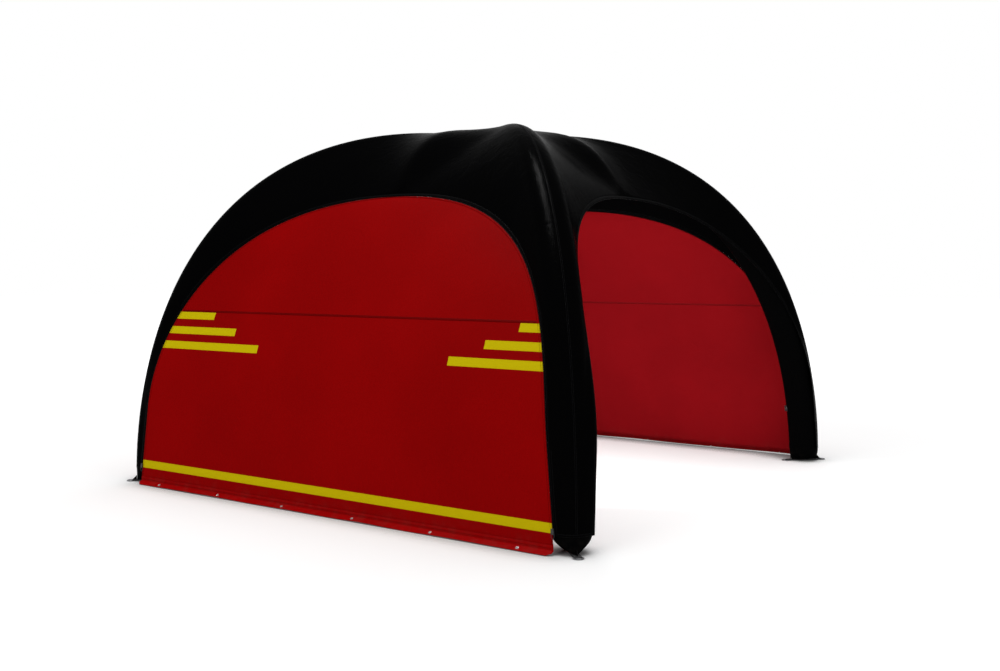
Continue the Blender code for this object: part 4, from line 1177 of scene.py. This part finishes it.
for seed, face in enumerate(CLOSED_SIDES):
    degrees = WALL_ANGLES[face]
    rows = [wall_row(end, seed + 0.5) for end in wall_ends + [TOP_END * (0.0, 1.0, 1.0)]]
    outer, hemmed = (red_printed, red_hemmed_printed) if face == "front" else (red_cloth, red_hemmed)
    wall = cloth_piece(f"wall_cloth_{face}", [turned(rows, degrees)], outer, WALL_CLOTH, INDOORS, 0.0)
    # Faces turned into the tent take the pinker inner red, which is painted light through the cloth.
    wall.data.materials.append(red_inside)
    for polygon in wall.data.polygons:
        if polygon.normal.dot(polygon.center - Vector(INDOORS)) < 0:
            polygon.material_index = 1
    lift = WALL_CLOTH / 2 + SEAM_LIFT
    trim = []
    for name, side, lap, edging in (
        ("outside", 1.0, red_lap, hemmed), ("inside", -1.0, red_lap_inside, red_hemmed_inside)
    ):
        lines = [turned(wall_row(end, seed + 0.5, lift * side), degrees) for end in lap_ends]
        ways = turned([wall_normal(1.5) * side] * (WALL_COLUMNS + 1), degrees)
        trim.append(strip(f"wall_lap_{name}_{face}", lines, lap, LAP_CLOTH, ways))
        raised = edge_hem_line + edge_hem_normals * side * (lift + EDGE_HEM_LIFT)
        lines = [
            turned(both_sides(raised + edge_hem_ways * reach), degrees)
            for reach in np.linspace(0.0, EDGE_HEM_WIDTH, 3)
        ]
        ways = turned(both_sides(edge_hem_normals * side), degrees)
        trim.append(strip(f"wall_edge_hem_{name}_{face}", lines, edging, EDGE_HEM_CLOTH, ways))
    for piece in [wall] + trim:
        belongs(piece, f"wall_{face}")

# Ground hems: a red flap sewn along the foot of each wall and turned out along the ground,
# with its corners cut off and six pressed metal eyelets for pegs. Its turned-out part is a
# brighter red than the wall, which is painted light from above.
HEM_CLOTH = 0.0014
HEM_OVERLAP = 0.03
HEM_GAP = 0.0004
HEM_BEND = 0.004
HEM_FLARE = 0.0454
HEM_EDGE_HEIGHT = 0.0015
HEM_CHAMFER = 0.03
HEM_COLUMNS = 160
HEM_WAVE = 0.12
# The hem's brighter red is painted light on the flap where it turns out along the ground.
HEM_RED_PAINTED_LIGHT = (0.365, 0.0008, 0.0014)
EYELET_HOLE = 0.007
EYELET_MARGIN = 0.25
EYELET_COUNT = 6
EYELET_SINK = 0.0007
EYELET_ROLL = ((1.0, 0.0016), (1.10, 0.0006), (1.16, 0.0001), (1.16, -0.0003), (1.12, -0.0008))
EYELET_METAL = 0.0004
EYELET_PUNCH = 0.02

stand_off = np.array((-SEAM_REACH, WALL_CLOTH / 2 + HEM_GAP, 0.0))
hem_top = edge_point((WALL_BOTTOM + HEM_OVERLAP) / ZIP_RUN_HEIGHT) + stand_off
hem_bend = edge_point(WALL_BOTTOM / ZIP_RUN_HEIGHT) + stand_off - (0.0, 0.0, HEM_BEND)
hem_edge = np.array((hem_bend[0] - HEM_CHAMFER, hem_bend[1] + HEM_FLARE, HEM_EDGE_HEIGHT))
hem_corner = (hem_bend + (hem_bend[0], hem_edge[1], hem_edge[2])) / 2
hem_shape = [hem_top + (hem_bend - hem_top) * t for t in (0.0, 0.5, 0.85)]
hem_shape += [hem_bend + (hem_corner - hem_bend) * t for t in (0.0, 0.12, 0.4, 0.7)]
hem_shape += [hem_corner + (hem_edge - hem_corner) * t for t in (0.0, 0.35, 0.7, 0.93, 1.0)]


def hem_point(place, share, seed):
    """A place of the hem's profile, at a share of its length, with its slight wave."""
    loose = max(place[1] - hem_bend[1], 0.0)
    wave = loose * HEM_WAVE * (1 + noise.noise(Vector((place[0] * share * 2.3, 0.0, seed))))
    return (place[0] * share, -place[1], place[2] + wave)


def flap_painted_light(tree, place, tone):
    """The upright part, sewn to the wall, keeps the wall's red; the flap below the bend keeps the hem's
    brighter red, which is painted light from above.
    """
    upright = smooth_step(tree, split(tree, place)[2], WALL_BOTTOM - HEM_BEND, WALL_BOTTOM)
    return blended(tree, upright, tone, RED)


hem_cloth = cloth("red_hem", HEM_RED_PAINTED_LIGHT, RED_THREAD, 0.60, 0.01, (0.02,), dust=0.10, print_over=flap_painted_light)
eyelet_steel = steel("eyelet_steel", (0.42, 0.43, 0.45), (0.66, 0.67, 0.68), 260.0, 0.28)
last_eyelet = hem_corner[0] - EYELET_MARGIN
eyelet_way = unit(np.array((0.0, hem_edge[2] - hem_bend[2], hem_edge[1] - hem_bend[1])))
for seed, face in enumerate(CLOSED_SIDES):
    degrees = WALL_ANGLES[face]
    shares = np.linspace(-1.0, 1.0, HEM_COLUMNS + 1)
    rows = [[hem_point(place, share, seed + 7.5) for place in hem_shape] for share in shares]
    hem = cloth_piece(f"hem_cloth_{face}", [turned(rows, degrees)], hem_cloth, HEM_CLOTH, -0.6 * INDOORS)
    way = Vector(turned(eyelet_way, degrees))
    turn = way.to_track_quat("Z", "Y").to_euler()
    for index in range(EYELET_COUNT):
        share = last_eyelet / hem_corner[0] * (2 * index / (EYELET_COUNT - 1) - 1)
        spot = np.array(hem_point(hem_corner, share, seed + 7.5)) + eyelet_way * HEM_CLOTH / 2
        spot = Vector(turned(spot, degrees))
        punched(hem, spot, way, EYELET_HOLE, EYELET_PUNCH)
        eyelet = primitive(bpy.ops.mesh.primitive_circle_add, vertices=24, radius=EYELET_HOLE)
        eyelet.name = f"hem_eyelet_{face}_{index + 1}"
        rolls = [(bpy.ops.transform.translate, {"value": (0.0, 0.0, -EYELET_SINK)})]
        for wider, rise in EYELET_ROLL:
            widen = {"value": (wider, wider, 1.0), "center_override": (0.0, 0.0, 0.0)}
            rolls += [
                (bpy.ops.mesh.extrude_edges_move, {}),
                (bpy.ops.transform.translate, {"value": (0.0, 0.0, rise)}),
                (bpy.ops.transform.resize, widen),
            ]
        finish_by_hand(eyelet, *rolls)
        plate = eyelet.modifiers.new("plate", "SOLIDIFY")
        plate.thickness = EYELET_METAL
        plate.offset = 0.0
        apply_modifiers(eyelet)
        finish_by_hand(eyelet, (bpy.ops.mesh.normals_make_consistent, {"inside": False}))
        eyelet.data.transform(Matrix.LocRotScale(spot, turn, None))
        eyelet.data.materials.append(eyelet_steel)
        eyelet.data.shade_smooth()
        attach(eyelet, "root")
    belongs(hem, f"hem_{face}")

# Zip sliders and pulls: cast metal and bent wire under black lacquer, one pair at each foot
# of a closed side. The slider runs up its zip from there, and its pull hangs from it.
slider_lacquer = plastic("slider_lacquer", (0.012, 0.012, 0.013), (0.050, 0.050, 0.052))
for face in CLOSED_SIDES:
    for end in ("right", "left"):
        refinish(f"zip_slider_{face}_{end}", slider_lacquer)
        refinish(f"zip_pull_{face}_{end}", slider_lacquer)
